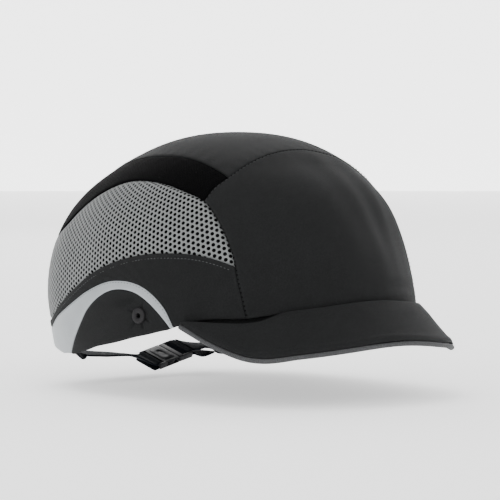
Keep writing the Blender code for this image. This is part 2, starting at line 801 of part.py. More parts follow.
def add_buckle_female(frame):
    """The housing, fixed to the strap that is sewn to the wearer's right."""
    half_width = BUCKLE_WIDTH / 2
    half_height = BUCKLE_THICKNESS / 2
    bm = bmesh.new()
    add_box(bm, (-BUCKLE_HALF_LENGTH, -half_width, -half_height), (BUCKLE_MOUTH, half_width, half_height))
    soften(bm)
    housing = add_piece(bm, "buckle_female", "buckle")
    housing.matrix_world = frame
    inner = half_width - CHEEK_WALL
    cuts = [("strap_window", (-CUT_REACH, HOUSING_SOLID_START), (-inner, inner), BUCKLE_THICKNESS),
            ("middle_channel", (CHANNEL_START, CUT_REACH), (-MIDDLE_CHANNEL, MIDDLE_CHANNEL),
             POCKET_HALF_HEIGHT),
            ("front_channel", (CHANNEL_START, CUT_REACH), (-CUT_REACH, -SIDE_CHANNEL), POCKET_HALF_HEIGHT),
            ("rear_channel", (CHANNEL_START, CUT_REACH), (SIDE_CHANNEL, CUT_REACH), POCKET_HALF_HEIGHT)]
    for name, along, across, height in cuts:
        bm = bmesh.new()
        add_box(bm, (along[0], across[0], -height), (along[1], across[1], height))
        cutter = add_cutter(bm, name)
        cutter.matrix_world = frame
        cut(housing, cutter)
    bar = bmesh.new()
    add_bar(bar, -BAR_PLACE, half_width - CHEEK_WALL / 2)
    merge_into(housing, bar, "housing_bar")


def add_buckle_male(frame):
    """The clip: its frame, bar and middle prong, without its two spring arms."""
    half_width = BUCKLE_WIDTH / 2
    half_height = BUCKLE_THICKNESS / 2
    start = BUCKLE_MOUTH + PART_GAP
    bm = bmesh.new()
    add_box(bm, (start, -half_width, -half_height), (BUCKLE_HALF_LENGTH, half_width, half_height))
    soften(bm)
    clip = add_piece(bm, "buckle_male", "buckle")
    clip.matrix_world = frame
    window = bmesh.new()
    inner = half_width - CHEEK_WALL
    add_box(window, (CLIP_SOLID_END, -inner, -BUCKLE_THICKNESS), (CUT_REACH, inner, BUCKLE_THICKNESS))
    cutter = add_cutter(window, "clip_window")
    cutter.matrix_world = frame
    cut(clip, cutter)
    bar = bmesh.new()
    add_bar(bar, CLIP_BAR_PLACE, half_width - CHEEK_WALL / 2)
    merge_into(clip, bar, "clip_bar")
    prong = bmesh.new()
    add_box(prong, (ARM_TIP, -PRONG_HALF_WIDTH, -ARM_HALF_HEIGHT),
            (start + EDGE_ROUNDING, PRONG_HALF_WIDTH, ARM_HALF_HEIGHT))
    merge_into(clip, prong, "clip_prong")


def add_release_arm(frame, side, name):
    """A spring arm of the clip, on its hinge line, with the button that the fingers squeeze."""
    root = Vector((BUCKLE_MOUTH - 0.1 * MM, side * ARM_ROOT, 0))
    hinge = bpy.data.objects.new(name + "_hinge", None)
    bpy.context.scene.collection.objects.link(hinge)
    hinge.matrix_world = frame @ Matrix.Translation(root)
    bm = bmesh.new()
    verts = [bm.verts.new((x * MM, side * y * MM, -ARM_HALF_HEIGHT)) for x, y in ARM_OUTLINE]
    face = bm.faces.new(verts)
    grown = bmesh.ops.extrude_face_region(bm, geom=[face])["geom"]
    moved = [item for item in grown if isinstance(item, bmesh.types.BMVert)]
    bmesh.ops.translate(bm, vec=(0, 0, 2 * ARM_HALF_HEIGHT), verts=moved)
    bmesh.ops.recalc_face_normals(bm, faces=bm.faces)
    add_piece(bm, name, "buckle", hinge)


def add_strap_right(frame):
    """The webbing sewn inside the wearer's right corner and looped round the housing's bar."""
    lift = BAR_RADIUS + PART_GAP + WEBBING_WALL / 2
    flat = Vector((0, 1, 0))
    tilted = frame.to_3x3() @ flat
    upright = Vector((0.0, 0.05, 1))
    stops = [((-64, 56.5, -8), upright), ((-60.5, 61.5, -12), upright),
             ((-54, 62.5, -19), Vector((0, 0.5, 0.85))), ((-46, 70, -23.2), Vector((0, 1, 0.1))),
             ((-30, 72.5, -24), flat), ((-10, 72.5, -25.6), flat)]
    points = [CROWN_CENTRE + Vector(point) * MM for point, _ in stops]
    widths = [width for _, width in stops]
    for x, z in loop_points(-BAR_PLACE, lift):
        points.append(frame @ Vector((x, 0, z)))
        widths.append(tilted)
    route = Line(points)
    frames = frames_along(route, FollowWidths(route, widths), 56)
    add_piece(sweep(rectangle(WEBBING_WIDTH, WEBBING_WALL), frames), "strap_right", "webbing")


class FollowWidths:
    """Width directions that go with a route's points."""

    def __init__(self, route, widths):
        self.stops = [route.share(index) for index in range(len(widths))]
        self.widths = [width.normalized() for width in widths]

    def at(self, share):
        """The width direction at a share of the route."""
        for index in range(len(self.stops) - 1):
            if share <= self.stops[index + 1]:
                t = (share - self.stops[index]) / (self.stops[index + 1] - self.stops[index])
                return self.widths[index].lerp(self.widths[index + 1], t)
        return self.widths[-1]


def loop_points(bar, lift):
    """Points of webbing that comes in over a bar from -x, turns round it and goes back under it."""
    way = 1 if bar > 0 else -1
    points = [(bar + way * 3 * MM, lift)]
    for index in range(7):
        turn = math.pi * index / 6
        points.append((bar - way * lift * math.sin(turn), lift * math.cos(turn)))
    points.append((bar + way * 4 * MM, -lift))
    points.append((bar + way * 9 * MM, -lift))
    return points


def add_strap_left(frame):
    """The webbing from the wearer's left corner, and the tail that the clip's bar turns back."""
    lift = BAR_RADIUS + PART_GAP + WEBBING_WALL / 2
    tilted = frame.to_3x3() @ Vector((0, 1, 0))
    flat = Vector((0, 1, 0))
    upright = Vector((0.0, 0.05, 1))
    loop = loop_points(CLIP_BAR_PLACE, lift)
    points = [frame @ Vector((x, 0, z)) for x, z in loop[:-1]]
    widths = [tilted] * len(points)
    points += [CROWN_CENTRE + Vector((36, 72, -27.2)) * MM, CROWN_CENTRE + Vector((44, 72, -26.6)) * MM]
    widths += [tilted.lerp(flat, 0.5), flat]
    route = Line(points)
    frames = frames_along(route, FollowWidths(route, widths), 36)
    add_piece(sweep(rectangle(WEBBING_WIDTH, WEBBING_WALL), frames), "strap_left_tail", "webbing")

    start = frame @ Vector((loop[0][0] + 3 * PART_GAP, 0, lift))
    stops = [((38, 72.4, -23), Vector((0, 1, 0.1))), ((46, 70, -23.2), Vector((0, 1, 0.1))),
             ((54, 62.5, -19), Vector((0, 0.5, 0.85))), ((60.5, 61.5, -12), upright), ((64, 56.5, -8), upright)]
    points = [start] + [CROWN_CENTRE + Vector(point) * MM for point, _ in stops]
    route = Line(points)
    frames = frames_along(route, FollowWidths(route, [tilted] + [width for _, width in stops]), 26)
    add_piece(sweep(rectangle(WEBBING_WIDTH, WEBBING_WALL), frames), "strap_left_run", "webbing")


def build():
    """Model the whole cap."""
    clear_scene()
    add_front_and_crown()
    for side, hand in ((1, "right"), (-1, "left")):
        ear = add_side_panels(side, hand)
        add_eyelet(ear, side, hand)
    add_sweatband()
    add_arch_binding()
    add_peak()
    add_shell()
    add_pads()
    frame = buckle_frame()
    add_buckle_female(frame)
    add_buckle_male(frame)
    add_release_arm(frame, -1, "release_arm_front")
    add_release_arm(frame, 1, "release_arm_rear")
    add_strap_right(frame)
    add_strap_left(frame)


build()
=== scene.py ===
"""Looks of a short-peaked bump cap: sewn crown, net sides, stiffened peak, vented shell and nape strap.

Metres, +Z up; the peak points to -Y and the wearer's right is -X. The crown is laid out on a flat map:
a place (u, v), in degrees, is hypot(u, v) away from the top, u to the wearer's right, v to the front.
"""

import json
import logging
import math
from collections.abc import Callable, Sequence
from dataclasses import dataclass, field
from enum import Enum

import bmesh
import bpy
import numpy as np
from mathutils import Matrix, Vector

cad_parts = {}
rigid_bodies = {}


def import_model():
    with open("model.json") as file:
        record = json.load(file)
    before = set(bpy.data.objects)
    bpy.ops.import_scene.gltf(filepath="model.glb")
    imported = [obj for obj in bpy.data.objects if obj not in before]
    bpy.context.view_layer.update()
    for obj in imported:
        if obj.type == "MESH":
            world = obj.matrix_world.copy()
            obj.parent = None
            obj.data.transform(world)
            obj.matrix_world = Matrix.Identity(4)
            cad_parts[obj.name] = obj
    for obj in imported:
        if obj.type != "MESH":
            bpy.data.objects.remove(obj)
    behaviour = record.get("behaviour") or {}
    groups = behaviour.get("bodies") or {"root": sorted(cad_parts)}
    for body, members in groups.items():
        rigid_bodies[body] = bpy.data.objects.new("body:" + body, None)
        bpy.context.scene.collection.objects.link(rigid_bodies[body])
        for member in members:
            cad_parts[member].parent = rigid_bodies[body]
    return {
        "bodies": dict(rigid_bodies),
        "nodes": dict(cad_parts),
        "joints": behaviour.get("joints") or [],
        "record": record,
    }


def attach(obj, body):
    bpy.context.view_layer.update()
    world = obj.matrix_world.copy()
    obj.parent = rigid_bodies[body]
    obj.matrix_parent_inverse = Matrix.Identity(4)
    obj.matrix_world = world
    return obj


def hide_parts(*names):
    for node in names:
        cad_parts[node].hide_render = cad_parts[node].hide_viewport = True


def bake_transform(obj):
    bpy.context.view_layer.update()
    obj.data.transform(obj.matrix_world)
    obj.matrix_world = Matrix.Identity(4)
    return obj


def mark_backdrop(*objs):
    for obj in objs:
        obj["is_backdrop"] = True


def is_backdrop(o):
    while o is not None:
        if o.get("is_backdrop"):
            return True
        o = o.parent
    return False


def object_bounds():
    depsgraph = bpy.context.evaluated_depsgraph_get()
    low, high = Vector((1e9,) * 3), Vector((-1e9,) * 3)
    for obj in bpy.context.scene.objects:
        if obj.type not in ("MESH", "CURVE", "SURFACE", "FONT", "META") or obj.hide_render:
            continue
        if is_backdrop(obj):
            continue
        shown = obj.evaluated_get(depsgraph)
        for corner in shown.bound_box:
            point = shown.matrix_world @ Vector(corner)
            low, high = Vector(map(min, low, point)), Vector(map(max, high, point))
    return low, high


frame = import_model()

LOG = logging.getLogger("bump_cap")
MM = 0.001
CAD_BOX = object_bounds()
Array = np.ndarray


class Body(Enum):
    """The moving bodies of the cap."""

    SHELL = "shell"
    CAP = "cap"
    CLIP = "clip"
    ARM_FRONT = "arm_front"
    ARM_REAR = "arm_rear"


class Hand(Enum):
    """A side of the cap, with its sign on the map."""

    RIGHT = 1
    LEFT = -1

    @property
    def word(self) -> str:
        """The side's name in lower case."""
        return self.name.lower()


# The crown's surface and the seams on it


@dataclass(frozen=True)
class Crown:
    """The egg-shaped dome that the panels and the shell follow; it leans back about its centre."""

    centre: tuple[float, float, float] = (0.0, 0.01336, 0.0371)
    rise: float = 91.5 * MM
    half_width: float = 84.0 * MM
    front: float = 106.3 * MM
    rear: float = 100.2 * MM
    lean: float = math.radians(16.9)
    front_roundness: float = 2.06
    rear_roundness: float = 3.27
    side_roundness: float = 3.04
    front_tuck: float = 0.21
    rear_tuck: float = 0.50
    side_tuck: float = 0.40
    plan_roundness: float = 2.04
    search_steps: int = 30
    furthest: float = 0.2

    @staticmethod
    def reach(height: Array, reach: Array, roundness: Array, tuck: Array, rise: Array) -> Array:
        """How far the crown reaches at a height over its widest line, which it tucks in below.

        Args:
            height: heights over the widest line.
            reach: the reach at the widest line.
            roundness: the power of the curve above it.
            tuck: the share that it draws in below.
            rise: the crown's height over the widest line.

        Returns:
            The reach at each height.
        """
        share = np.abs(height) / rise
        above = np.sqrt(np.maximum(1.0 - share ** roundness, 1e-9))
        return reach * np.where(height < 0, 1.0 - tuck * share ** 2, above)

    def holds(self, points: Array, depth: Array) -> Array:
        """Whether points, from the crown's centre, are inside the surface at a depth.

        Args:
            points: n points, from the centre.
            depth: n depths under the outer face.

        Returns:
            n truth values.
        """
        cos, sin = math.cos(self.lean), math.sin(self.lean)
        along = points[:, 1] * cos - points[:, 2] * sin
        height = points[:, 1] * sin + points[:, 2] * cos
        rise = self.rise - depth
        side = self.reach(height, self.half_width - depth, self.side_roundness, self.side_tuck, rise)
        fore = self.reach(height, self.front - depth, self.front_roundness, self.front_tuck, rise)
        aft = self.reach(height, self.rear - depth, self.rear_roundness, self.rear_tuck, rise)
        end = np.where(along < 0, fore, aft)
        plan = (np.abs(points[:, 0]) / side) ** self.plan_roundness
        plan = plan + (np.abs(along) / end) ** self.plan_roundness
        return (height < rise) & (plan < 1.0)

    def points(self, places: Array, depth: Array | float = 0.0) -> Array:
        """The points of the crown at places of the map.

        Args:
            places: n places, in degrees.
            depth: how deep each lies under the crown's outer face.

        Returns:
            n points.
        """
        places = np.atleast_2d(np.asarray(places, float))
        depth = np.broadcast_to(np.asarray(depth, float), len(places))
        polar = np.radians(np.hypot(places[:, 0], places[:, 1]))
        bearing = np.arctan2(places[:, 0], places[:, 1])
        ways = np.stack([-np.sin(polar) * np.sin(bearing), -np.sin(polar) * np.cos(bearing),
                         np.cos(polar)], axis=1)
        low, high = np.zeros(len(places)), np.full(len(places), self.furthest)
        for _ in range(self.search_steps):
            middle = (low + high) / 2
            held = self.holds(ways * middle[:, None], depth)
            low, high = np.where(held, middle, low), np.where(held, high, middle)
        return np.array(self.centre) + ways * low[:, None]

    def normals(self, places: Array) -> Array:
        """The outward normals of the crown at places of the map."""
        places = np.atleast_2d(np.asarray(places, float))
        step = 0.4
        across = self.points(places + (step, 0)) - self.points(places - (step, 0))
        along = self.points(places + (0, step)) - self.points(places - (0, step))
        normals = np.cross(across, along)
        normals /= np.linalg.norm(normals, axis=1)[:, None]
        outward = self.points(places) - np.array(self.centre)
        return normals * np.sign((normals * outward).sum(1))[:, None]


CROWN = Crown()


class Line:
    """A smooth line through a few points of any number of axes, read from 0 to 1 by length."""

    def __init__(self, points: Sequence[Sequence[float]]) -> None:
        """Measure the line.

        Args:
            points: the points that it passes through.
        """
        self.points = np.array(points, float)
        steps = np.linalg.norm(np.diff(self.points, axis=0), axis=1)
        self.stops = np.concatenate([[0.0], np.cumsum(steps)])
        self.length = float(self.stops[-1])
        before = np.maximum(np.arange(len(self.points)) - 1, 0)
        after = np.minimum(np.arange(len(self.points)) + 1, len(self.points) - 1)
        gaps = (self.stops[after] - self.stops[before])[:, None]
        self.slopes = (self.points[after] - self.points[before]) / gaps

    def at(self, shares: Array | float) -> Array:
        """The points at shares of the length.

        Args:
            shares: one share or n shares, from 0 to 1.

        Returns:
            n points.
        """
        length = np.clip(np.atleast_1d(np.asarray(shares, float)), 0.0, 1.0) * self.length
        index = np.clip(np.searchsorted(self.stops, length) - 1, 0, len(self.points) - 2)
        span = (self.stops[index + 1] - self.stops[index])[:, None]
        t = (length - self.stops[index])[:, None] / span
        ease = 3 * t ** 2 - 2 * t ** 3
        bend = self.slopes[index] * span * (t - 2 * t ** 2 + t ** 3)
        bend = bend + self.slopes[index + 1] * span * (t ** 3 - t ** 2)
        return self.points[index] * (1 - ease) + self.points[index + 1] * ease + bend

    def share(self, index: int) -> float:
        """The share of the length at one of the points."""
        return float(self.stops[index] / self.length)


class Stretch:
    """Part of a line, between two of its points; it can run backwards."""

    def __init__(self, line: Line, first: int = 0, last: int = -1) -> None:
        """Pick the stretch.

        Args:
            line: the line that it is part of.
            first: the point that it starts at.
            last: the point that it ends at.
        """
        self.line = line
        last = last % len(line.points)
        self.start, self.end = line.share(first), line.share(last)
        self.length = abs(float(line.stops[last] - line.stops[first]))

    def at(self, shares: Array | float) -> Array:
        """The points at shares of the stretch."""
        return self.line.at(self.start + (self.end - self.start) * np.asarray(shares, float))


class Chain:
    """Several lines end to end, read as one."""

    def __init__(self, *links: "Line | Stretch") -> None:
        """Join the links in order."""
        self.links = links
        self.length = sum(link.length for link in links)

    def at(self, shares: Array | float) -> Array:
        """The points at shares of the whole length."""
        shares = np.atleast_1d(np.asarray(shares, float))
        ends = np.cumsum([link.length for link in self.links]) / self.length
        found = np.zeros((len(shares), self.links[0].at(0).shape[1]))
        start = 0.0
        for index, (link, end) in enumerate(zip(self.links, ends)):
            last = index == len(self.links) - 1
            mine = (shares >= start) & ((shares <= end) | last)
            found[mine] = link.at(np.clip((shares[mine] - start) / (end - start), 0, 1))
            start = end
        return found


AnyLine = Line | Stretch | Chain


def both_sides(points: Sequence[tuple[float, float]]) -> list[tuple[float, float]]:
    """A line's points from the wearer's right to the left, given the right half up to the middle."""
    return [*points, *((-u, v) for u, v in reversed(points[:-1]))]


HEM_POINTS = [(0, 84.2), (18.2, 83), (34.7, 78.8), (50.3, 71.8), (62.5, 62), (74.6, 50.9), (78.9, 46.6),
              (87.8, 33.4), (96.1, 13.5), (99.5, -9.6), (99, -22), (97.6, -31), (96.1, -35.3),
              (89.6, -49.8), (75, -68), (56.5, -84.8)]
FRONT_SEAM_POINTS = [(50.3, 71.8), (46.8, 61.5), (44.9, 57.4), (43.4, 53.5), (41.1, 45.1), (39.2, 34.4)]
HEM = Line(HEM_POINTS)
WHOLE_HEM = Line(both_sides(HEM_POINTS[::-1]))
HEM_MIDDLE = len(HEM_POINTS) - 1
FRONT_SEAM = Line(FRONT_SEAM_POINTS)
CORONAL = Line(both_sides([(39.2, 34.4), (34, 33.7), (28.4, 34), (14, 33), (0, 32.2)]))
CROWN_EDGE = Line([(28.4, 34), (29.2, 18), (30.6, 3), (30.3, -10), (27, -30), (22.5, -50), (20.3, -60),
                   (19.7, -62.5), (16.2, -74)])
MESH_TOP = Line([(39.2, 34.4), (41.3, 17.5), (42.8, 0), (45.4, -13), (48.4, -25), (49.3, -36), (44, -50),
                 (31.5, -59.5), (19.7, -62.5)])
MESH_BOTTOM = Line([(44.9, 57.4), (51.6, 46.1), (59.6, 32.1), (67.4, 14.9), (73.1, -1.8), (77.2, -20),
                    (77.4, -34), (74.8, -48), (69.9, -59.3), (60, -70.6), (47, -79.7)])
BAND_TOP = Line([(76.5, 49.0), (73.9, 40.4), (73.3, 26.7), (75.4, 11.6), (79.7, -8.8), (81.3, -23.8),
                 (79.6, -39.4), (72.9, -58.9), (63, -71.4), (50.5, -80.9)])
BAND_BOTTOM = Line([(77.7, 47.8), (76.6, 34), (76.5, 23.2), (79.1, 8.6), (84.9, -7.6), (91, -20.5),
                    (96.1, -35.3)])
ARCH = Line(both_sides([(56.5, -84.8), (50.5, -80.9), (47, -79.7), (38, -77.3), (29.4, -75.4),
                        (16.2, -74), (0, -73.2)]))


def flipped(line: AnyLine, hand: Hand) -> Line:
    """A line of the wearer's right half, moved to the wanted side.

    Args:
        line: the line on the right half.
        hand: the side that it is wanted on.

    Returns:
        A line through points of the same seam.
    """
    shares = np.linspace(0, 1, 60)
    return Line(line.at(shares) * (hand.value, 1))


# Shader fields


class Field:
    """A number that varies over a surface: one output socket of a shader node."""

    def __init__(self, graph: "Graph", socket: bpy.types.NodeSocket) -> None:
        """Hold a socket of a graph."""
        self.graph = graph
        self.socket = socket

    def math(self, operation: str, *others: "Field | float", swap: bool = False) -> "Field":
        """Add one Math node.

        Args:
            operation: the Math node's operation.
            others: its other operands.
            swap: whether this field is the second operand.

        Returns:
            The node's result.
        """
        operands = [*others, self] if swap else [self, *others]
        return self.graph.node("ShaderNodeMath", {"operation": operation}, dict(enumerate(operands)))

    def __add__(self, other: "Field | float") -> "Field":
        """Sum."""
        return self.math("ADD", other)

    __radd__ = __add__

    def __sub__(self, other: "Field | float") -> "Field":
        """Difference."""
        return self.math("SUBTRACT", other)

    def __rsub__(self, other: float) -> "Field":
        """Difference from a number."""
        return self.math("SUBTRACT", other, swap=True)

    def __mul__(self, other: "Field | float") -> "Field":
        """Product."""
        return self.math("MULTIPLY", other)

    __rmul__ = __mul__

    def __truediv__(self, other: "Field | float") -> "Field":
        """Quotient."""
        return self.math("DIVIDE", other)

    def wave(self) -> "Field":
        """One hump for each unit, from 0 to 1 and back."""
        return (self.math("FRACT") * math.pi).math("SINE")

    def ramp(self, low: float, high: float) -> "Field":
        """A smooth step from 0 at one value to 1 at another."""
        settings = {"interpolation_type": "SMOOTHSTEP"}
        inputs = {"Value": self, "From Min": low, "From Max": high, "To Min": 0.0, "To Max": 1.0}
        return self.graph.node("ShaderNodeMapRange", settings, inputs)


class Graph:
    """The node tree of one material, with its Principled shader."""

    def __init__(self, name: str) -> None:
        """Start a material of a name."""
        self.material = bpy.data.materials.new(name)
        self.material.use_nodes = True
        self.tree = self.material.node_tree
        self.shader = self.tree.nodes["Principled BSDF"]

    def feed(self, socket: bpy.types.NodeSocket, value: "Field | float | tuple") -> None:
        """Link a field to a socket, or set a constant on it."""
        if isinstance(value, Field):
            self.tree.links.new(value.socket, socket)
        else:
            socket.default_value = value

    def node(self, kind: str, settings: dict[str, object], inputs: dict[str | int, object],
             output: str | int = 0) -> Field:
        """Add any node.

        Args:
            kind: the node's type.
            settings: its own settings, which are set first.
            inputs: values or fields for its sockets, by name or place.
            output: the output that is wanted.

        Returns:
            The wanted output as a field.
        """
        made = self.tree.nodes.new(kind)
        for name, value in settings.items():
            setattr(made, name, value)
        for name, value in inputs.items():
            self.feed(made.inputs[name], value)
        return Field(self, made.outputs[output])

    def set(self, **values: "Field | float | tuple") -> None:
        """Set the shader's sockets, named with underscores for spaces."""
        for name, value in values.items():
            self.feed(self.shader.inputs[name.replace("_", " ").title().replace("Ior", "IOR")], value)

    def pattern_place(self, turn: float = 0.0) -> tuple[Field, Field]:
        """The two coordinates of the piece's own UV map, which is in millimetres.

        Args:
            turn: how far the pattern is turned, in radians.

        Returns:
            The coordinates along and across the pattern.
        """
        uv = self.node("ShaderNodeUVMap", {"uv_map": "millimetres"}, {})
        turned = self.node("ShaderNodeMapping", {}, {"Vector": uv, "Rotation": (0, 0, turn)})
        return self.split(turned)

    def split(self, vector: Field) -> tuple[Field, Field]:
        """The first two parts of a vector."""
        parts = self.node("ShaderNodeSeparateXYZ", {}, {0: vector}).socket.node.outputs
        return Field(self, parts[0]), Field(self, parts[1])

    def noise(self, size: float, detail: float = 3.0, roughness: float = 0.55) -> Field:
        """Noise over the object's own coordinates, from about 0 to 1.

        Args:
            size: the size of its lumps, in metres.
            detail: how many finer layers it has.
            roughness: how strong those are.

        Returns:
            The noise.
        """
        place = self.node("ShaderNodeTexCoord", {}, {}, "Object")
        inputs = {"Vector": place, "Scale": 1.0 / size, "Detail": detail, "Roughness": roughness}
        return self.node("ShaderNodeTexNoise", {}, inputs)

    def blend(self, factor: "Field | float", first: Sequence[float] | Field,
              second: Sequence[float] | Field) -> Field:
        """Mix two colours.

        Args:
            factor: 0 for the first, 1 for the second.
            first: a colour.
            second: another colour.

        Returns:
            The mixed colour.
        """
        colours = [tuple([*c, 1.0]) if not isinstance(c, Field) else c for c in (first, second)]
        settings = {"data_type": "RGBA", "clamp_factor": True}
        return self.node("ShaderNodeMix", settings, {0: factor, 6: colours[0], 7: colours[1]}, 2)

    def bump(self, height: Field, distance: float, strength: float = 1.0) -> Field:
        """A normal bumped by a height.

        Args:
            height: the height, from 0 to 1.
            distance: its full height, in metres.
            strength: how much of it shows.

        Returns:
            The bumped normal.
        """
        return self.node("ShaderNodeBump", {}, {"Strength": strength, "Distance": distance, "Height": height})


Colour = tuple[float, float, float]


def shade(colour: Colour, factor: float) -> Colour:
    """A colour made lighter or darker."""
    return tuple(part * factor for part in colour)


@dataclass(frozen=True)
class Weave:
    """A plain-woven cloth, drawn on the piece's UV map in millimetres."""

    name: str
    colour: Colour
    pitch: float = 0.42
    roughness: float = 0.82
    relief: float = 0.06 * MM
    sheen: float = 0.015
    gloss: float = 0.13
    mottle: float = 0.16
    rib: float = 0.0

    def build(self) -> bpy.types.Material:
        """Make the material."""
        graph = Graph(self.name)
        along, across = graph.pattern_place(math.radians(8))
        warp, weft = along / self.pitch, across / self.pitch
        parity = ((warp.math("FLOOR") + weft.math("FLOOR")) * 0.5).math("FRACT") * 2.0
        threads = warp.wave() * parity + weft.wave() * (1.0 - parity)
        if self.rib:
            threads = threads * 0.5 + (across / self.rib).wave() * 0.5
        cloud = graph.noise(26 * MM)
        lint = graph.noise(0.7 * MM, 2.0)
        tone = threads * 0.35 + cloud * self.mottle * 2 + lint * 0.9 - self.mottle - 0.25
        colour = graph.blend(tone.ramp(0.0, 1.0), shade(self.colour, 0.55), shade(self.colour, 1.60))
        edge = graph.node("ShaderNodeAttribute", {"attribute_name": "edge"}, {}, "Fac")
        worn = graph.blend(edge * lint * 0.8, colour, shade(self.colour, 1.9))
        rough = lint * 0.12 + (self.roughness - 0.06)
        graph.set(base_color=worn, roughness=rough, sheen_weight=self.sheen, sheen_roughness=0.45,
                  specular_ior_level=self.gloss, normal=graph.bump(threads + lint * 0.6, self.relief))
        return graph.material


@dataclass(frozen=True)
class KnitStrand:
    """The knitted strands of the net: fine slanted loops of yarn."""

    name: str
    colour: Colour
    loop: float = 0.34

    def build(self) -> bpy.types.Material:
        """Make the material."""
        graph = Graph(self.name)
        along, across = graph.pattern_place(math.radians(35))
        loops = (along / self.loop).wave() * (across / (self.loop * 1.7)).wave()
        fuzz = graph.noise(0.5 * MM, 2.0)
        cloud = graph.noise(18 * MM)
        tone = loops * 0.5 + fuzz * 0.35 + cloud * 0.3 - 0.1
        colour = graph.blend(tone.ramp(0.0, 1.0), shade(self.colour, 0.72), shade(self.colour, 1.22))
        graph.set(base_color=colour, roughness=fuzz * 0.1 + 0.78, sheen_weight=0.15, sheen_roughness=0.5,
                  specular_ior_level=0.25, normal=graph.bump(loops + fuzz * 0.5, 0.09 * MM))
        return graph.material


@dataclass(frozen=True)
class FineMesh:
    """A close knitted mesh: rows of tiny staggered pinholes."""

    name: str
    colour: Colour
    pitch: float = 1.3
    hole: float = 0.30

    def build(self) -> bpy.types.Material:
        """Make the material."""
        graph = Graph(self.name)
        along, across = graph.pattern_place(math.radians(20))
        rows = self.pitch * math.sqrt(3)
        near = None
        for shift in (0.0, 0.5):
            x = ((along / self.pitch + shift).math("FRACT") - 0.5) * self.pitch
            y = ((across / rows + shift).math("FRACT") - 0.5) * rows
            reach = (x * x + y * y).math("SQRT")
            near = reach if near is None else near.math("MINIMUM", reach)
        yarn = near.ramp(self.hole, self.hole + 0.16)
        fuzz = graph.noise(0.6 * MM, 2.0)
        tone = fuzz.ramp(0.25, 0.8)
        threads = graph.blend(tone, shade(self.colour, 0.6), shade(self.colour, 1.7))
        colour = graph.blend(yarn, shade(self.colour, 0.12), threads)
        graph.set(base_color=colour, roughness=fuzz * 0.08 + 0.88, sheen_weight=0.0,
                  specular_ior_level=0.04, normal=graph.bump(yarn + fuzz * 0.4, 0.16 * MM))
        return graph.material


@dataclass(frozen=True)
class Reflective:
    """Silver retroreflective tape: a fine beaded film with a faint woven ground."""

    name: str
    colour: Colour

    def build(self) -> bpy.types.Material:
        """Make the material."""
        graph = Graph(self.name)
        along, across = graph.pattern_place(math.radians(45))
        ground = (along / 0.55).wave() * (across / 0.55).wave()
        beads = graph.noise(0.35 * MM, 2.0, 0.7)
        cloud = graph.noise(14 * MM)
        tone = beads * 0.5 + ground * 0.2 + cloud * 0.45 - 0.1
        colour = graph.blend(tone.ramp(0.1, 0.9), shade(self.colour, 0.80), shade(self.colour, 1.16))
        edge = graph.node("ShaderNodeAttribute", {"attribute_name": "edge"}, {}, "Fac")
        colour = graph.blend(edge * 0.5, colour, shade(self.colour, 1.3))
        graph.set(base_color=colour, roughness=beads * 0.16 + 0.40, metallic=0.25,
                  specular_ior_level=0.5, normal=graph.bump(beads + ground * 0.5, 0.05 * MM))
        return graph.material


@dataclass(frozen=True)
class Moulding:
    """A moulded plastic or pressed part with a fine sparked grain and rubbed high spots."""

    name: str
    colour: Colour
    roughness: float = 0.45
    grain: float = 0.5
    relief: float = 0.04 * MM
    metallic: float = 0.0
    gloss: float = 0.4

    def build(self) -> bpy.types.Material:
        """Make the material."""
        graph = Graph(self.name)
        sparks = graph.noise(self.grain * MM, 2.0, 0.6)
        flow = graph.noise(9 * MM, 4.0)
        scuffs = graph.noise(2.4 * MM, 6.0, 0.75).ramp(0.60, 0.74)
        tone = (sparks * 0.5 + flow * 0.5).ramp(0.3, 0.7)
        colour = graph.blend(tone, shade(self.colour, 0.8), shade(self.colour, 1.25))
        colour = graph.blend(scuffs * 0.35, colour, shade(self.colour, 2.4))
        rough = sparks * 0.14 + scuffs * 0.1 + (self.roughness - 0.07)
        graph.set(base_color=colour, roughness=rough, metallic=self.metallic, specular_ior_level=self.gloss,
                  normal=graph.bump(sparks, self.relief))
        return graph.material


@dataclass(frozen=True)
class Foam:
    """Closed-cell foam under a thin tricot, with small pits."""

    name: str
    colour: Colour
    cell: float = 1.1

    def build(self) -> bpy.types.Material:
        """Make the material."""
        graph = Graph(self.name)
        place = graph.node("ShaderNodeTexCoord", {}, {}, "Object")
        pits = graph.node("ShaderNodeTexVoronoi", {}, {"Vector": place, "Scale": 1 / (self.cell * MM)})
        pits = pits.ramp(0.05, 0.55)
        cloud = graph.noise(12 * MM)
        tone = pits * 0.6 + cloud * 0.4
        colour = graph.blend(tone.ramp(0.1, 0.9), shade(self.colour, 0.6), shade(self.colour, 1.35))
        graph.set(base_color=colour, roughness=cloud * 0.08 + 0.86, sheen_weight=0.1,
                  specular_ior_level=0.2, normal=graph.bump(pits, 0.12 * MM))
        return graph.material


@dataclass(frozen=True)
class Pile:
    """Hook or loop tape: a dense pile of tiny stems."""

    name: str
    colour: Colour
    stem: float = 0.5

    def build(self) -> bpy.types.Material:
        """Make the material."""
        graph = Graph(self.name)
        place = graph.node("ShaderNodeTexCoord", {}, {}, "Object")
        stems = graph.node("ShaderNodeTexVoronoi", {}, {"Vector": place, "Scale": 1 / (self.stem * MM)})
        stems = 1.0 - stems.ramp(0.0, 0.6)
        tufts = graph.noise(1.6 * MM)
        colour = graph.blend((stems * 0.6 + tufts * 0.5).ramp(0.1, 0.9), shade(self.colour, 0.4),
                             shade(self.colour, 1.8))
        graph.set(base_color=colour, roughness=tufts * 0.06 + 0.9, sheen_weight=0.2,
                  specular_ior_level=0.2, normal=graph.bump(stems + tufts, 0.3 * MM))
        return graph.material


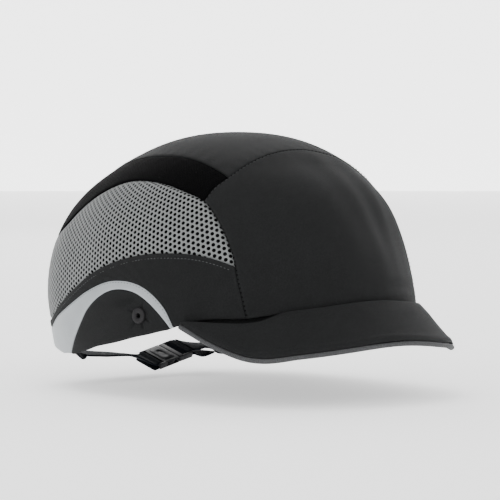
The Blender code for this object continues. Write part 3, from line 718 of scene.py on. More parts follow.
@dataclass(frozen=True)
class Thread:
    """Twisted sewing thread."""

    name: str
    colour: Colour
    gloss: float = 0.25

    def build(self) -> bpy.types.Material:
        """Make the material."""
        graph = Graph(self.name)
        fibre = graph.noise(0.16 * MM, 2.0)
        cloud = graph.noise(5 * MM)
        colour = graph.blend((fibre * 0.7 + cloud * 0.4).ramp(0.2, 0.9), shade(self.colour, 0.6),
                             shade(self.colour, 1.3))
        graph.set(base_color=colour, roughness=fibre * 0.1 + 0.7,
                  specular_ior_level=self.gloss, normal=graph.bump(fibre, 0.03 * MM))
        return graph.material


class Finish(Enum):
    """Every finish of the cap; its value is what builds it."""

    FABRIC = Weave("charcoal_cloth", (0.0100, 0.0105, 0.0108))
    BINDING = Weave("binding_tape", (0.006, 0.0062, 0.0065), 0.6, 0.86)
    PIPING = Weave("grey_piping", (0.060, 0.061, 0.063), 0.5, 0.7, rib=0.9)
    WEBBING = Weave("strap_webbing", (0.008, 0.010, 0.014), 0.7, 0.85, 0.12 * MM, rib=1.4, gloss=0.05)
    TERRY = Weave("sweatband_cloth", (0.008, 0.0083, 0.0086), 0.9, 0.92, 0.2 * MM)
    NET = KnitStrand("grey_net", (0.205, 0.214, 0.213))
    BACKING = FineMesh("net_backing", (0.004, 0.004, 0.0042), 1.0)
    BLACK_MESH = FineMesh("black_knit", (0.0016, 0.0016, 0.0018))
    SILVER = Reflective("reflective_silver", (0.33, 0.352, 0.366))
    SHELL = Moulding("shell_plastic", (0.018, 0.018, 0.019), 0.42, 0.7)
    BUCKLE = Moulding("buckle_acetal", (0.011, 0.0115, 0.0135), 0.42, 0.35, gloss=0.3)
    # The buckle's top face: the same plastic with a sparked grain, its colour twice the buckle's as a painted
    # highlight where the top catches the light.
    BUCKLE_FACE = Moulding("buckle_sparked_face", (0.022, 0.0225, 0.025), 0.6, 0.45, 0.1 * MM, gloss=0.2)
    EYELET = Moulding("eyelet_satin", (0.013, 0.0125, 0.0135), 0.6, 0.3, gloss=0.2)
    BOARD = Moulding("peak_board", (0.50, 0.50, 0.48), 0.6, 1.2)
    FOAM = Foam("pad_foam", (0.030, 0.030, 0.031))
    PILE = Pile("hook_and_loop_pile", (0.012, 0.012, 0.013))
    DARK_THREAD = Thread("dark_thread", (0.0008, 0.0008, 0.0009), 0.05)
    GREY_THREAD = Thread("grey_thread", (0.075, 0.078, 0.08))

    def material(self) -> bpy.types.Material:
        """The finish's material, made once."""
        return bpy.data.materials.get(self.value.name) or self.value.build()


# Mesh tools


def lay_sheet(cells: tuple[int, int],
              lay: Callable[[Array, Array], tuple[Array, Array, Array]]) -> bmesh.types.BMesh:
    """A grid whose points, pattern coordinates and edge wear come from a function of two shares.

    Args:
        cells: how many cells it has each way.
        lay: gives n points, n pattern places in millimetres and n edge values for n shares s and t.

    Returns:
        The sheet.
    """
    bm = bmesh.new()
    bmesh.ops.create_grid(bm, x_segments=cells[0], y_segments=cells[1], size=0.5)
    shares = np.array([vert.co[:2] for vert in bm.verts]) + 0.5
    points, pattern, edge = lay(shares[:, 0], shares[:, 1])
    layer = bm.loops.layers.uv.new("millimetres")
    wear = bm.verts.layers.float.new("edge")
    bm.verts.index_update()
    for vert, point, value in zip(bm.verts, points, edge):
        vert.co = point
        vert[wear] = float(value)
    for face in bm.faces:
        for loop in face.loops:
            loop[layer].uv = pattern[loop.vert.index]
    return bm


def flat_pattern(bm: bmesh.types.BMesh, matrix: Matrix | None = None) -> None:
    """Give a mesh pattern coordinates from its place along its main plane, in millimetres.

    Args:
        bm: the mesh.
        matrix: a frame whose x and y the pattern follows, or None for the row's x and y.
    """
    layer = bm.loops.layers.uv.get("millimetres") or bm.loops.layers.uv.new("millimetres")
    into = matrix.inverted() if matrix else Matrix.Identity(4)
    for face in bm.faces:
        for loop in face.loops:
            local = into @ loop.vert.co
            loop[layer].uv = (local.x / MM, local.y / MM)


def face_out(bm: bmesh.types.BMesh, centre: Vector) -> None:
    """Turn every face of a sheet to point away from a centre."""
    bm.normal_update()
    inward = [face for face in bm.faces if face.normal.dot(face.calc_center_median() - centre) < 0]
    bmesh.ops.reverse_faces(bm, faces=inward)
    bm.normal_update()


@dataclass
class Maker:
    """Turns meshes into finished pieces of one body and keeps count of them."""

    body: Body
    made: list[str] = field(default_factory=list)

    def piece(self, bm: bmesh.types.BMesh, name: str, finish: Finish, slot: str, nodes: Sequence[str] = (),
              wall: float = 0.0, offset: float = -1.0, rounding: int = 0,
              ride: bool = True) -> bpy.types.Object:
        """Make a piece.

        Args:
            bm: its mesh, which is freed.
            name: the piece's name.
            finish: what it is made of.
            slot: the record's material slot.
            nodes: the CAD nodes that it stands for.
            wall: the thickness that a sheet gets, or 0.
            offset: the side that the thickness goes to.
            rounding: subdivision levels.
            ride: whether it rides on the body at once.

        Returns:
            The piece.
        """
        mesh = bpy.data.meshes.new(name)
        bm.to_mesh(mesh)
        bm.free()
        mesh.shade_smooth()
        mesh.materials.append(finish.material())
        made = bpy.data.objects.new(name, mesh)
        bpy.context.scene.collection.objects.link(made)
        if wall:
            solid = made.modifiers.new("Wall", "SOLIDIFY")
            solid.thickness = wall
            solid.offset = offset
            solid.use_even_offset = True
        if rounding:
            smooth = made.modifiers.new("Rounding", "SUBSURF")
            smooth.levels = rounding
            smooth.render_levels = rounding
        self.dress(made, slot, nodes, ride)
        return made

    def dress(self, made: bpy.types.Object, slot: str, nodes: Sequence[str], ride: bool = True) -> None:
        """Hide the CAD nodes that a piece stands for, put it on its body and count it.

        Args:
            made: the piece.
            slot: the record's material slot; not used.
            nodes: the CAD nodes that it stands for.
            ride: whether it rides on the body.
        """
        if nodes:
            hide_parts(*nodes)
        if ride:
            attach(made, self.body.value)
        self.made.append(made.name)
        LOG.info("%s on %s", made.name, self.body.value)


def frame_at(origin: Vector, along: Vector, across: Vector) -> Matrix:
    """A frame whose z runs along a line and whose x lies as near as it can to a direction.

    Args:
        origin: its origin.
        along: its z.
        across: the direction that its x is near.

    Returns:
        The frame.
    """
    z_axis = Vector(along).normalized()
    y_axis = z_axis.cross(Vector(across)).normalized()
    made = Matrix((y_axis.cross(z_axis), y_axis, z_axis)).transposed().to_4x4()
    made.translation = Vector(origin)
    return made


def turned(profile: Sequence[tuple[float, float]], segments: int, place: Matrix) -> bmesh.types.BMesh:
    """A ring turned about a frame's z from a closed profile of radius and height."""
    bm = bmesh.new()
    verts = [bm.verts.new((radius, 0, height)) for radius, height in profile]
    edges = [bm.edges.new(pair) for pair in zip(verts, verts[1:] + verts[:1])]
    bmesh.ops.spin(bm, geom=[*verts, *edges], cent=(0, 0, 0), axis=(0, 0, 1), angle=2 * math.pi,
                   steps=segments, use_merge=True, use_duplicate=False)
    bmesh.ops.remove_doubles(bm, verts=bm.verts, dist=0.005 * MM)
    bmesh.ops.recalc_face_normals(bm, faces=bm.faces)
    bmesh.ops.transform(bm, matrix=place, verts=bm.verts)
    return bm


def sweep(points: Array, widths: Array, half: Callable[[Array], tuple[Array, Array]], cells: int,
          end_scale: float = 1.0) -> bmesh.types.BMesh:
    """A closed tube drawn along a route, its section given by a function of the turn.

    Args:
        points: the route's points.
        widths: the direction of the section's x at each of them.
        half: gives the section's x and y for turns from 0 to 1.
        cells: how many cells go round it.
        end_scale: how much the ends draw in, 1 for not at all.

    Returns:
        The tube, capped.
    """
    along = np.gradient(points, axis=0)
    along /= np.linalg.norm(along, axis=1)[:, None]
    x_axis = widths - (widths * along).sum(1)[:, None] * along
    x_axis /= np.linalg.norm(x_axis, axis=1)[:, None]
    y_axis = np.cross(along, x_axis)
    length = np.concatenate([[0.0], np.cumsum(np.linalg.norm(np.diff(points, axis=0), axis=1))])
    count = len(points) - 1

    def lay(s: Array, t: Array) -> tuple[Array, Array, Array]:
        """Places, pattern coordinates and edge wear for the shares."""
        row = np.rint(s * count).astype(int)
        x, y = half(t)
        shrink = np.where((row == 0) | (row == count), end_scale, 1.0)
        place = points[row] + x_axis[row] * (x * shrink)[:, None] + y_axis[row] * (y * shrink)[:, None]
        around = np.hypot(np.abs(x).max(), np.abs(y).max()) * 4 * t
        return place, np.stack([around, length[row]], 1) / MM, np.zeros(len(s))

    bm = lay_sheet((count, cells), lay)
    bmesh.ops.remove_doubles(bm, verts=bm.verts, dist=0.002 * MM)
    rims = [edge for edge in bm.edges if edge.is_boundary]
    bmesh.ops.holes_fill(bm, edges=rims, sides=0)
    bmesh.ops.recalc_face_normals(bm, faces=bm.faces)
    return bm


def tape_section(width: float, wall: float, roundness: float = 4.0) -> Callable[[Array], tuple[Array, Array]]:
    """A flat section with rounded edges.

    Args:
        width: its size on x.
        wall: its size on y.
        roundness: 2 for an oval, more for a squarer one.

    Returns:
        The section.
    """
    def section(t: Array) -> tuple[Array, Array]:
        """The place on x and y for each share of the way round."""
        cos, sin = np.cos(2 * math.pi * t), np.sin(2 * math.pi * t)
        power = 2 / roundness
        x = width / 2 * np.sign(cos) * np.abs(cos) ** power
        y = wall / 2 * np.sign(sin) * np.abs(sin) ** power
        return x, y

    return section


def sway(points: Array, size: float, seed: float) -> Array:
    """A slow, smooth waviness over space, from about -1 to 1.

    Args:
        points: where it is read.
        size: the length of its waves, in metres.
        seed: which waviness it is.

    Returns:
        One value for each point.
    """
    total = np.zeros(len(points))
    for index in range(5):
        angle = seed + index * 2.4
        way = np.array([math.cos(angle), math.sin(angle), math.cos(angle * 1.7)])
        total += np.sin(points @ way * (2 * math.pi / size) * (0.7 + 0.2 * index) + angle * 3)
    return total / 3


def on_seam(line: AnyLine, shares: Array, offset: Array | float) -> Array:
    """Map places beside a seam.

    Args:
        line: the seam.
        shares: where along it.
        offset: how far beside it, in metres; positive is towards the top of the crown.

    Returns:
        n places.
    """
    places = line.at(shares)
    step = 0.004
    ahead = line.at(np.clip(shares + step, 0, 1)) - line.at(np.clip(shares - step, 0, 1))
    side = np.stack([-ahead[:, 1], ahead[:, 0]], 1)
    side /= np.linalg.norm(side, axis=1)[:, None]
    inward = -np.sign((side * places).sum(1))
    scale = np.linalg.norm(CROWN.points(places + side) - CROWN.points(places), axis=1)
    return places + side * (inward * offset / scale)[:, None]


def stitch_row(maker: Maker, name: str, line: AnyLine, offset: float, finish: Finish, slot: str,
               pitch: float = 2.6 * MM, radius: float = 0.24 * MM, ends: tuple[float, float] = (0.01, 0.99),
               lift: float = 0.0, shown: float = 0.30) -> None:
    """Sew a row of stitches beside a seam, as one piece.

    Args:
        maker: who makes it.
        name: the piece's name.
        line: the seam.
        offset: how far beside it, as on_seam takes it.
        finish: the thread.
        slot: the record's material slot.
        pitch: from stitch to stitch.
        radius: the thread's radius.
        ends: the shares of the seam between which it is sewn.
        lift: how far the thread lies over the cloth.
        shown: half the share of the pitch that each stitch shows.
    """
    fine = np.linspace(*ends, 400)
    route = CROWN.points(on_seam(line, fine, offset))
    steps = np.concatenate([[0.0], np.cumsum(np.linalg.norm(np.diff(route, axis=0), axis=1))])
    count = int(steps[-1] / pitch)
    shares = np.interp((np.arange(count) + 0.5) * pitch, steps, fine)
    places = on_seam(line, shares, offset)
    points = CROWN.points(places, -lift)
    ahead = CROWN.points(on_seam(line, np.clip(shares + 0.002, 0, 1), offset), -lift) - points
    normals = CROWN.normals(places)
    bm = bmesh.new()
    size = Matrix.Diagonal((radius * 0.8, radius, pitch * shown, 1.0))
    for point, way, normal in zip(points, ahead, normals):
        bmesh.ops.create_uvsphere(bm, u_segments=6, v_segments=5, radius=1.0,
                                  matrix=frame_at(Vector(point), Vector(way), Vector(normal)) @ size)
    flat_pattern(bm)
    maker.piece(bm, name, finish, slot)


# The sewn crown


@dataclass(frozen=True)
class Relief:
    """How the cloth of a panel lies: rolled at its seams, puckered along them, and slightly wavy."""

    roll: float = 0.28 * MM
    roll_reach: float = 0.85 * MM
    pucker: float = 0.08 * MM
    pucker_pitch: float = 7.5 * MM
    pucker_reach: float = 6.0 * MM
    sway: float = 0.6 * MM
    sway_size: float = 85 * MM
    seed: float = 1.0


@dataclass(frozen=True)
class Panel:
    """A sewn panel between four seams: lower, upper, first end and last end."""

    name: str
    finish: Finish
    slot: str
    seams: tuple[AnyLine, AnyLine, AnyLine, AnyLine]
    cells: tuple[int, int]
    hand: Hand = Hand.RIGHT
    relief: Relief = Relief()
    gap: float = 0.10 * MM
    depth: float = 0.0
    wall: float = 1.1 * MM

    def place(self, s: Array, t: Array) -> Array:
        """The panel's map places at shares along and across it."""
        lower, upper, first, last = self.seams
        s, t = s[:, None], t[:, None]
        flat_s, flat_t = s[:, 0], t[:, 0]
        places = lower.at(flat_s) * (1 - t) + upper.at(flat_s) * t
        places = places + first.at(flat_t) * (1 - s) + last.at(flat_t) * s
        places = places - (lower.at(0) * (1 - s) + lower.at(1) * s) * (1 - t)
        places = places - (upper.at(0) * (1 - s) + upper.at(1) * s) * t
        return places * (self.hand.value, 1)

    def lay(self, s: Array, t: Array, extra: Callable[[Array, Array], Array] | None = None
            ) -> tuple[Array, Array, Array]:
        """The panel's points, pattern and edge wear.

        Args:
            s: shares along it.
            t: shares across it.
            extra: gives more lift for n places and n points.

        Returns:
            Points, pattern places in millimetres, and edge values.
        """
        samples = np.linspace(0, 1, 41)
        grid_s, grid_t = (part.ravel() for part in np.meshgrid(samples, samples, indexing="ij"))
        grid = CROWN.points(self.place(grid_s, grid_t)).reshape(41, 41, 3)
        tall = np.linalg.norm(np.diff(grid, axis=1), axis=2).sum(1)
        long = np.linalg.norm(np.diff(grid, axis=0), axis=2).sum(0)
        height = np.maximum(np.interp(s, samples, tall), 0.5 * MM)
        length = np.maximum(np.interp(t, samples, long), 0.5 * MM)
        draw_t = np.minimum(self.gap / height, 0.4)
        draw_s = np.minimum(self.gap / length, 0.4)
        places = self.place(draw_s + (1 - 2 * draw_s) * s, draw_t + (1 - 2 * draw_t) * t)
        base = CROWN.points(places)
        ends = np.minimum(s, 1 - s) * length
        rims = np.minimum(t, 1 - t) * height
        nearest = np.minimum(ends, rims)
        along = np.where(ends < rims, t * height, s * length)
        relief = self.relief
        seam = np.exp(-nearest / relief.pucker_reach) * (1 - np.exp(-nearest / (0.3 * relief.pucker_reach)))
        waves = np.sin(2 * math.pi * along / relief.pucker_pitch + 1.7 * np.sin(along / (17 * MM)))
        lift = -relief.roll * np.exp(-(nearest / relief.roll_reach) ** 1.5)
        lift = lift + relief.pucker * 2.0 * seam * waves
        slack = np.clip(nearest / (14 * MM), 0, 1)
        lift = lift + relief.sway * sway(base, relief.sway_size, relief.seed) * slack
        if extra:
            lift = lift + extra(places, base)
        points = CROWN.points(places, self.depth - lift)
        pattern = np.stack([s * float(long.mean()), t * height], 1) / MM
        return points, pattern, np.exp(-nearest / (1.2 * MM))

    def sheet(self, extra: Callable[[Array, Array], Array] | None = None) -> bmesh.types.BMesh:
        """The panel's sheet, facing out."""
        bm = lay_sheet(self.cells, lambda s, t: self.lay(s, t, extra))
        face_out(bm, Vector(CROWN.centre))
        return bm


@dataclass(frozen=True)
class Net:
    """A knitted net with staggered holes, cut to an outline and laid under the panels round it."""

    pitch: float = 2.8 * MM
    strand: float = 0.9 * MM
    slant: float = math.radians(23)
    polar: float = 62.0
    radius: float = 96.0 * MM
    overlap: float = 1.0
    depth: float = 0.35 * MM
    sunk: float = 1.0 * MM
    wall: float = 0.45 * MM

    def to_flat(self, places: Array) -> Array:
        """Flat cloth coordinates, in metres, of map places on the right half."""
        polar = np.hypot(places[:, 0], places[:, 1])
        bearing = np.arctan2(places[:, 0], places[:, 1])
        across = -bearing * math.sin(math.radians(self.polar)) * self.radius
        return np.stack([across, -np.radians(polar) * self.radius], 1)

    def to_places(self, flat: Array) -> Array:
        """Map places of flat cloth coordinates."""
        bearing = -flat[:, 0] / (math.sin(math.radians(self.polar)) * self.radius)
        polar = np.degrees(-flat[:, 1] / self.radius)
        return np.stack([polar * np.sin(bearing), polar * np.cos(bearing)], 1)

    @staticmethod
    def border_distance(outline: Array, places: Array) -> Array:
        """Distances, in degrees, from places to a closed outline; negative outside it.

        Args:
            outline: the outline's places in order.
            places: n places.

        Returns:
            n distances.
        """
        nearest = np.full(len(places), 1e9)
        crossings = np.zeros(len(places), int)
        for start, end in zip(outline, np.roll(outline, -1, axis=0)):
            way = end - start
            share = ((places - start) @ way) / max(float(way @ way), 1e-12)
            foot = start + np.clip(share, 0, 1)[:, None] * way
            nearest = np.minimum(nearest, np.linalg.norm(places - foot, axis=1))
            spans = (start[1] > places[:, 1]) != (end[1] > places[:, 1])
            if way[1]:
                x = start[0] + (places[:, 1] - start[1]) / way[1] * way[0]
                crossings += spans & (places[:, 0] < x)
        return np.where(crossings % 2, nearest, -nearest)

    def sheet(self, panel: Panel, hand: Hand) -> bmesh.types.BMesh:
        """The net's sheet: hexagon cells, each inset to a strand and opened.

        Args:
            panel: the panel that it fills, of the right half.
            hand: the side that it is made for.

        Returns:
            The sheet, facing out.
        """
        lower, upper, first, last = panel.seams
        shares = np.linspace(0, 1, 50)[:-1]
        outline = np.concatenate([lower.at(shares), last.at(shares), upper.at(1 - shares),
                                  first.at(1 - shares)])
        flat = self.to_flat(outline)
        turn = Matrix.Rotation(-self.slant, 4, "Z")
        corners = np.array([(turn.inverted() @ Vector((x, y, 0)))[:2] for x, y in flat])
        low, high = corners.min(0) - self.pitch, corners.max(0) + self.pitch
        rise = self.pitch * math.sqrt(3) / 2
        spots = []
        for row in range(int((high[1] - low[1]) / rise)):
            for column in range(int((high[0] - low[0]) / self.pitch)):
                x = low[0] + (column + 0.5 * (row % 2)) * self.pitch
                spots.append((x, low[1] + row * rise))
        spots = np.array([(turn @ Vector((x, y, 0)))[:2] for x, y in spots])
        spots = spots[self.border_distance(outline, self.to_places(spots)) > -self.overlap]
        bm = bmesh.new()
        for x, y in spots:
            matrix = Matrix.Translation((x, y, 0)) @ turn
            bmesh.ops.create_circle(bm, cap_ends=True, segments=6, radius=self.pitch / math.sqrt(3),
                                    matrix=matrix)
        bmesh.ops.remove_doubles(bm, verts=bm.verts, dist=0.05 * MM)
        cells = list(bm.faces)
        LOG.info("net of %d holes", len(cells))
        bmesh.ops.inset_individual(bm, faces=cells, thickness=self.strand / 2, use_even_offset=True)
        bmesh.ops.delete(bm, geom=cells, context="FACES_ONLY")
        flat_pattern(bm)
        co = np.array([vert.co[:2] for vert in bm.verts])
        places = self.to_places(co)
        inside = np.radians(self.border_distance(outline, places)) * self.radius
        places = places * (hand.value, 1)
        slack = np.clip(inside / (12 * MM), 0, 1)
        depth = self.depth + self.sunk * (1 - np.clip(inside / (1.6 * MM), 0, 1))
        depth = depth - 0.4 * MM * sway(CROWN.points(places), 70 * MM, 4.0) * slack
        for vert, point in zip(bm.verts, CROWN.points(places, depth)):
            vert.co = point
        face_out(bm, Vector(CROWN.centre))
        return bm


@dataclass
class SewnCrown:
    """The cap's sewn top: panels, nets, silver crescents, eyelets, tapes, binding and stitching."""

    eyelet_place: tuple[float, float] = (82.5, 28.9)
    eyelet_hole: float = 1.15 * MM
    eyelet_flange: float = 4.0 * MM
    dimple: float = 0.9 * MM
    tape_width: float = 6.4 * MM
    tape_depth: float = 2.0 * MM
    band_height: float = 16.0
    band_depth: float = 2.5 * MM
    band_wall: float = 1.6 * MM
    maker: Maker = field(default_factory=lambda: Maker(Body.CAP))

    def build(self) -> None:
        """Make every piece of the sewn crown."""
        self.front_and_crown()
        for hand in Hand:
            self.side(hand)
            self.eyelet(hand)
            self.tapes(hand)
            self.stitching(hand)
        self.arch_binding()
        self.sweatband()

    def front_and_crown(self) -> None:
        """The front panel and the strip that runs back over the head."""
        left = flipped(FRONT_SEAM, Hand.LEFT)
        hem = Stretch(WHOLE_HEM, HEM_MIDDLE - 3, HEM_MIDDLE + 3)
        front = Panel("front_cloth", Finish.FABRIC, "fabric", (hem, CORONAL, FRONT_SEAM, left),
                      (150, 96), gap=0.04 * MM,
                      relief=Relief(roll=0.10 * MM, seed=0.4, sway=1.0 * MM, sway_size=75 * MM,
                                    pucker=0.03 * MM))

        def hem_fold(places: Array, base: Array) -> Array:
            """A shallow fold over the peak's seam, towards the wearer's left, and soft upright folds."""
            polar = np.hypot(places[:, 0], places[:, 1])
            above = (80.5 - polar) / 1.3
            where = np.exp(-((places[:, 0] + 20) / 15) ** 2)
            drape = np.sin(2 * math.pi * (places[:, 0] + 0.18 * places[:, 1]) / 13)
            drape = drape * np.exp(-((places[:, 0] + 12) / 15) ** 2)
            drape = drape * np.exp(-((places[:, 1] - 52) / 20) ** 2)
            return 0.32 * MM * drape - 0.8 * MM * np.exp(-above ** 2) * where

        self.maker.piece(front.sheet(hem_fold), front.name, front.finish, front.slot, ["front_panel"],
                         front.wall)
        crown_left = flipped(CROWN_EDGE, Hand.LEFT)
        seams = (Stretch(ARCH, 5, 7), Stretch(CORONAL, 2, 6), Stretch(CROWN_EDGE, 8, 0),
                 Line(crown_left.at(np.linspace(1, 0, 60))))
        crown = Panel("crown_strip", Finish.FABRIC, "fabric", seams, (70, 150), relief=Relief(seed=2.1))
        self.maker.piece(crown.sheet(), crown.name, crown.finish, crown.slot, ["crown_panel"], crown.wall)

    def side(self, hand: Hand) -> None:
        """The panels of one side."""
        word = hand.word
        upper = (MESH_TOP, Stretch(CROWN_EDGE, 0, 6), Stretch(CORONAL, 0, 2), Stretch(CROWN_EDGE, 7, 6))
        rear = (MESH_BOTTOM, Chain(Stretch(MESH_TOP), Stretch(CROWN_EDGE, 7, 8)),
                Stretch(FRONT_SEAM, 2, 5), Stretch(ARCH, 2, 5))
        lower = Chain(Stretch(HEM, 3, 5), Line([HEM_POINTS[5], BAND_TOP.points[0]]), Stretch(BAND_TOP))
        side = (lower, MESH_BOTTOM, Stretch(FRONT_SEAM, 0, 2), Stretch(ARCH, 1, 2))
        band = (Chain(Stretch(BAND_BOTTOM), Stretch(HEM, 12, 15)), BAND_TOP,
                Line([BAND_BOTTOM.points[0], BAND_TOP.points[0]]), Stretch(ARCH, 0, 1))
        ear = (Stretch(HEM, 6, 11), BAND_BOTTOM, Line([HEM_POINTS[6], BAND_BOTTOM.points[0]]),
               Stretch(HEM, 11, 12))
        flat = Relief(roll=0.2 * MM, pucker=0.02 * MM, sway=0.25 * MM, seed=3.0)
        sunk = Relief(roll=0.3 * MM, pucker=0.03 * MM, sway=0.3 * MM, seed=5.0)
        plain = [Panel("upper_black_mesh_" + word, Finish.BLACK_MESH, "black_mesh", upper, (150, 26), hand,
                       sunk, depth=0.3 * MM),
                 Panel("side_cloth_" + word, Finish.FABRIC, "fabric", side, (190, 34), hand,
                       Relief(seed=1.3, sway=0.35 * MM)),
                 Panel("silver_crescent_" + word, Finish.SILVER, "reflective", band, (190, 18), hand, flat,
                       gap=0.12 * MM)]
        nodes = [["upper_mesh_" + word], ["side_panel_" + word], ["reflective_band_" + word]]
        for panel, stood_for in zip(plain, nodes):
            self.maker.piece(panel.sheet(), panel.name, panel.finish, panel.slot, stood_for, panel.wall)
        outline = Panel("net_" + word, Finish.NET, "grey_mesh", rear, (120, 40))
        net = Net()
        self.maker.piece(net.sheet(outline, hand), "grey_net_" + word, Finish.NET, "grey_mesh",
                         ["rear_mesh_" + word], net.wall, rounding=1)
        backing = Panel("net_backing_" + word, Finish.BACKING, "black_mesh", rear, (100, 30), hand,
                        Relief(roll=0.0, pucker=0.0, sway=0.0), depth=1.75 * MM, wall=0.2 * MM)
        self.maker.piece(backing.sheet(), backing.name, backing.finish, backing.slot, (), backing.wall)
        self.ear(Panel("ear_cloth_" + word, Finish.FABRIC, "fabric", ear, (130, 48), hand,
                       Relief(pucker=0.0, seed=6.0, sway=0.7 * MM, sway_size=60 * MM)))

    def ear(self, panel: Panel) -> None:
        """The ear panel, pulled in round its eyelet and opened under it."""
        middle = np.array(self.eyelet_place) * (panel.hand.value, 1)
        centre = CROWN.points(middle)[0]
        ahead = CROWN.points(middle + (0, 2))[0] - centre
        ahead /= np.linalg.norm(ahead)
        up = np.cross(CROWN.normals(middle)[0], ahead)

        def dimples(places: Array, base: Array) -> Array:
            """The pull of the pressed eyelet, with five short pleats."""
            away = base - centre
            x, y = away @ ahead, away @ up
            reach = np.hypot(x, y)
            pull = -self.dimple * np.exp(-(reach / (5.4 * MM)) ** 2)
            pleats = np.zeros(len(base))
            for turn in (8, 97, 186, 262, 325):
                angle = np.arctan2(y, x) - math.radians(turn)
                side = np.abs(np.arctan2(np.sin(angle), np.cos(angle))) * reach
                span = np.exp(-((reach - 5.2 * MM) / (1.9 * MM)) ** 2)
                pleats += np.exp(-(side / (0.55 * MM)) ** 2) * span
            across, along = (x + 9 * MM) - (y - 4 * MM), (x + 9 * MM) + (y - 4 * MM)
            fold = np.exp(-(across / (3.4 * MM)) ** 2) * np.exp(-(along / (12 * MM)) ** 2)
            return pull - 0.75 * MM * pleats - 1.5 * MM * fold

        bm = panel.sheet(dimples)
        opened = [face for face in bm.faces
                  if (face.calc_center_median() - Vector(centre)).length < 2.4 * MM]
        bmesh.ops.delete(bm, geom=opened, context="FACES")
        self.maker.piece(bm, panel.name, panel.finish, panel.slot, ["ear_panel_" + panel.hand.word],
                         panel.wall)

    def eyelet(self, hand: Hand) -> None:
        """The pressed eyelet with its rolled flange, and its washer inside."""
        middle = np.array(self.eyelet_place) * (hand.value, 1)
        normal = Vector(CROWN.normals(middle)[0])
        place = frame_at(Vector(CROWN.points(middle)[0]), normal, Vector((0, 0, 1)))
        hole, flange = self.eyelet_hole, self.eyelet_flange
        foot, face = -1.8 * MM, -0.5 * MM
        barrel = hole + 0.5 * MM
        profile = [(hole, foot), (barrel, foot), (barrel, face), (flange - 0.2 * MM, face - 0.2 * MM)]
        middle_radius, half = (flange + hole) / 2, (flange - hole) / 2
        for index in range(9):
            turn = math.pi * index / 8
            height = face + 0.2 * MM + 1.0 * MM * math.sin(turn) ** 0.6
            profile.append((middle_radius + half * math.cos(turn), height))
        self.maker.piece(turned(profile, 48, place), "eyelet_ring_" + hand.word, Finish.EYELET, "eyelet",
                         ["eyelet_" + hand.word], rounding=1)
        low, high = -2.1 * MM, -1.55 * MM
        ring = [(2.7 * MM, low), (flange - 0.2 * MM, low), (flange, (low + high) / 2),
                (flange - 0.2 * MM, high), (2.7 * MM, high)]
        self.maker.piece(turned(ring, 40, place), "eyelet_back_ring_" + hand.word, Finish.EYELET, "eyelet",
                         ["eyelet_washer_" + hand.word])

    def tapes(self, hand: Hand) -> None:
        """The narrow tapes that cover the seams inside."""
        lines = {"front": FRONT_SEAM, "crown_edge": CROWN_EDGE, "net_top": MESH_TOP,
                 "net_bottom": MESH_BOTTOM, "crescent": BAND_TOP, "ear": BAND_BOTTOM}
        if hand is Hand.RIGHT:
            lines["coronal"] = CORONAL
        for word, line in lines.items():
            def lay(s: Array, t: Array, line: AnyLine = line) -> tuple[Array, Array, Array]:
                """Places, pattern coordinates and edge wear for the shares."""
                side = (t - 0.5) * self.tape_width
                places = on_seam(line, 0.05 + 0.91 * s, side)
                arch = 1 - (2 * t - 1) ** 4
                points = CROWN.points(places * (hand.value, 1), self.tape_depth - 0.12 * MM * arch)
                return points, np.stack([s * 200, t * 8], 1), np.abs(2 * t - 1) ** 8

            bm = lay_sheet((60, 4), lay)
            face_out(bm, Vector(CROWN.centre))
            self.maker.piece(bm, f"seam_tape_{word}_{hand.word}", Finish.BINDING, "fabric", (), 0.3 * MM)

    def stitching(self, hand: Hand) -> None:
        """The topstitched rows of one side."""
        word = hand.word
        stitch_row(self.maker, "net_topstitch_" + word, flipped(MESH_BOTTOM, hand), -2.5 * MM,
                   Finish.GREY_THREAD, "fabric", 1.9 * MM, 0.15 * MM)
        stitch_row(self.maker, "front_topstitch_" + word, flipped(FRONT_SEAM, hand), 0.25 * MM,
                   Finish.DARK_THREAD, "fabric", 2.2 * MM, 0.36 * MM, lift=0.1 * MM,
                   shown=0.18)
        stitch_row(self.maker, "crescent_stitch_" + word, flipped(BAND_TOP, hand), -0.9 * MM,
                   Finish.GREY_THREAD, "fabric", 2.0 * MM, 0.13 * MM)
        if hand is Hand.RIGHT:
            stitch_row(self.maker, "coronal_topstitch", CORONAL, -0.3 * MM, Finish.DARK_THREAD, "fabric",
                       2.4 * MM, 0.42 * MM, lift=0.15 * MM, shown=0.16)

    def arch_binding(self) -> None:
        """The folded tape round the rear arch, and its stitches."""
        shares = np.linspace(0.012, 0.988, 150)
        places = ARCH.at(shares)
        normals = CROWN.normals(places)
        ahead = np.gradient(CROWN.points(places), axis=0)
        into = np.cross(ahead, normals)
        into /= np.linalg.norm(into, axis=1)[:, None]
        foot = CROWN.points((0, -98))[0]
        origin = CROWN.points(places, 0.6 * MM)
        into *= np.sign(((foot - origin) * into).sum(1))[:, None]
        wobble = 0.12 * MM * np.sin(shares * 130)[:, None]
        bm = sweep(origin + into * (1.1 * MM + wobble), normals, tape_section(2.9 * MM, 3.0 * MM, 3.2), 16)
        self.maker.piece(bm, "arch_tape", Finish.BINDING, "fabric", ["arch_binding"])
        stitch_row(self.maker, "arch_topstitch", ARCH, 1.0 * MM, Finish.DARK_THREAD, "fabric", 2.4 * MM,
                   0.2 * MM, (0.03, 0.97))

    def sweatband(self) -> None:
        """The padded band along the hem from ear to ear: two faces, drawn in at its sewn channels."""
        hem = Stretch(WHOLE_HEM, HEM_MIDDLE - 12, HEM_MIDDLE + 12)
        channels = 16

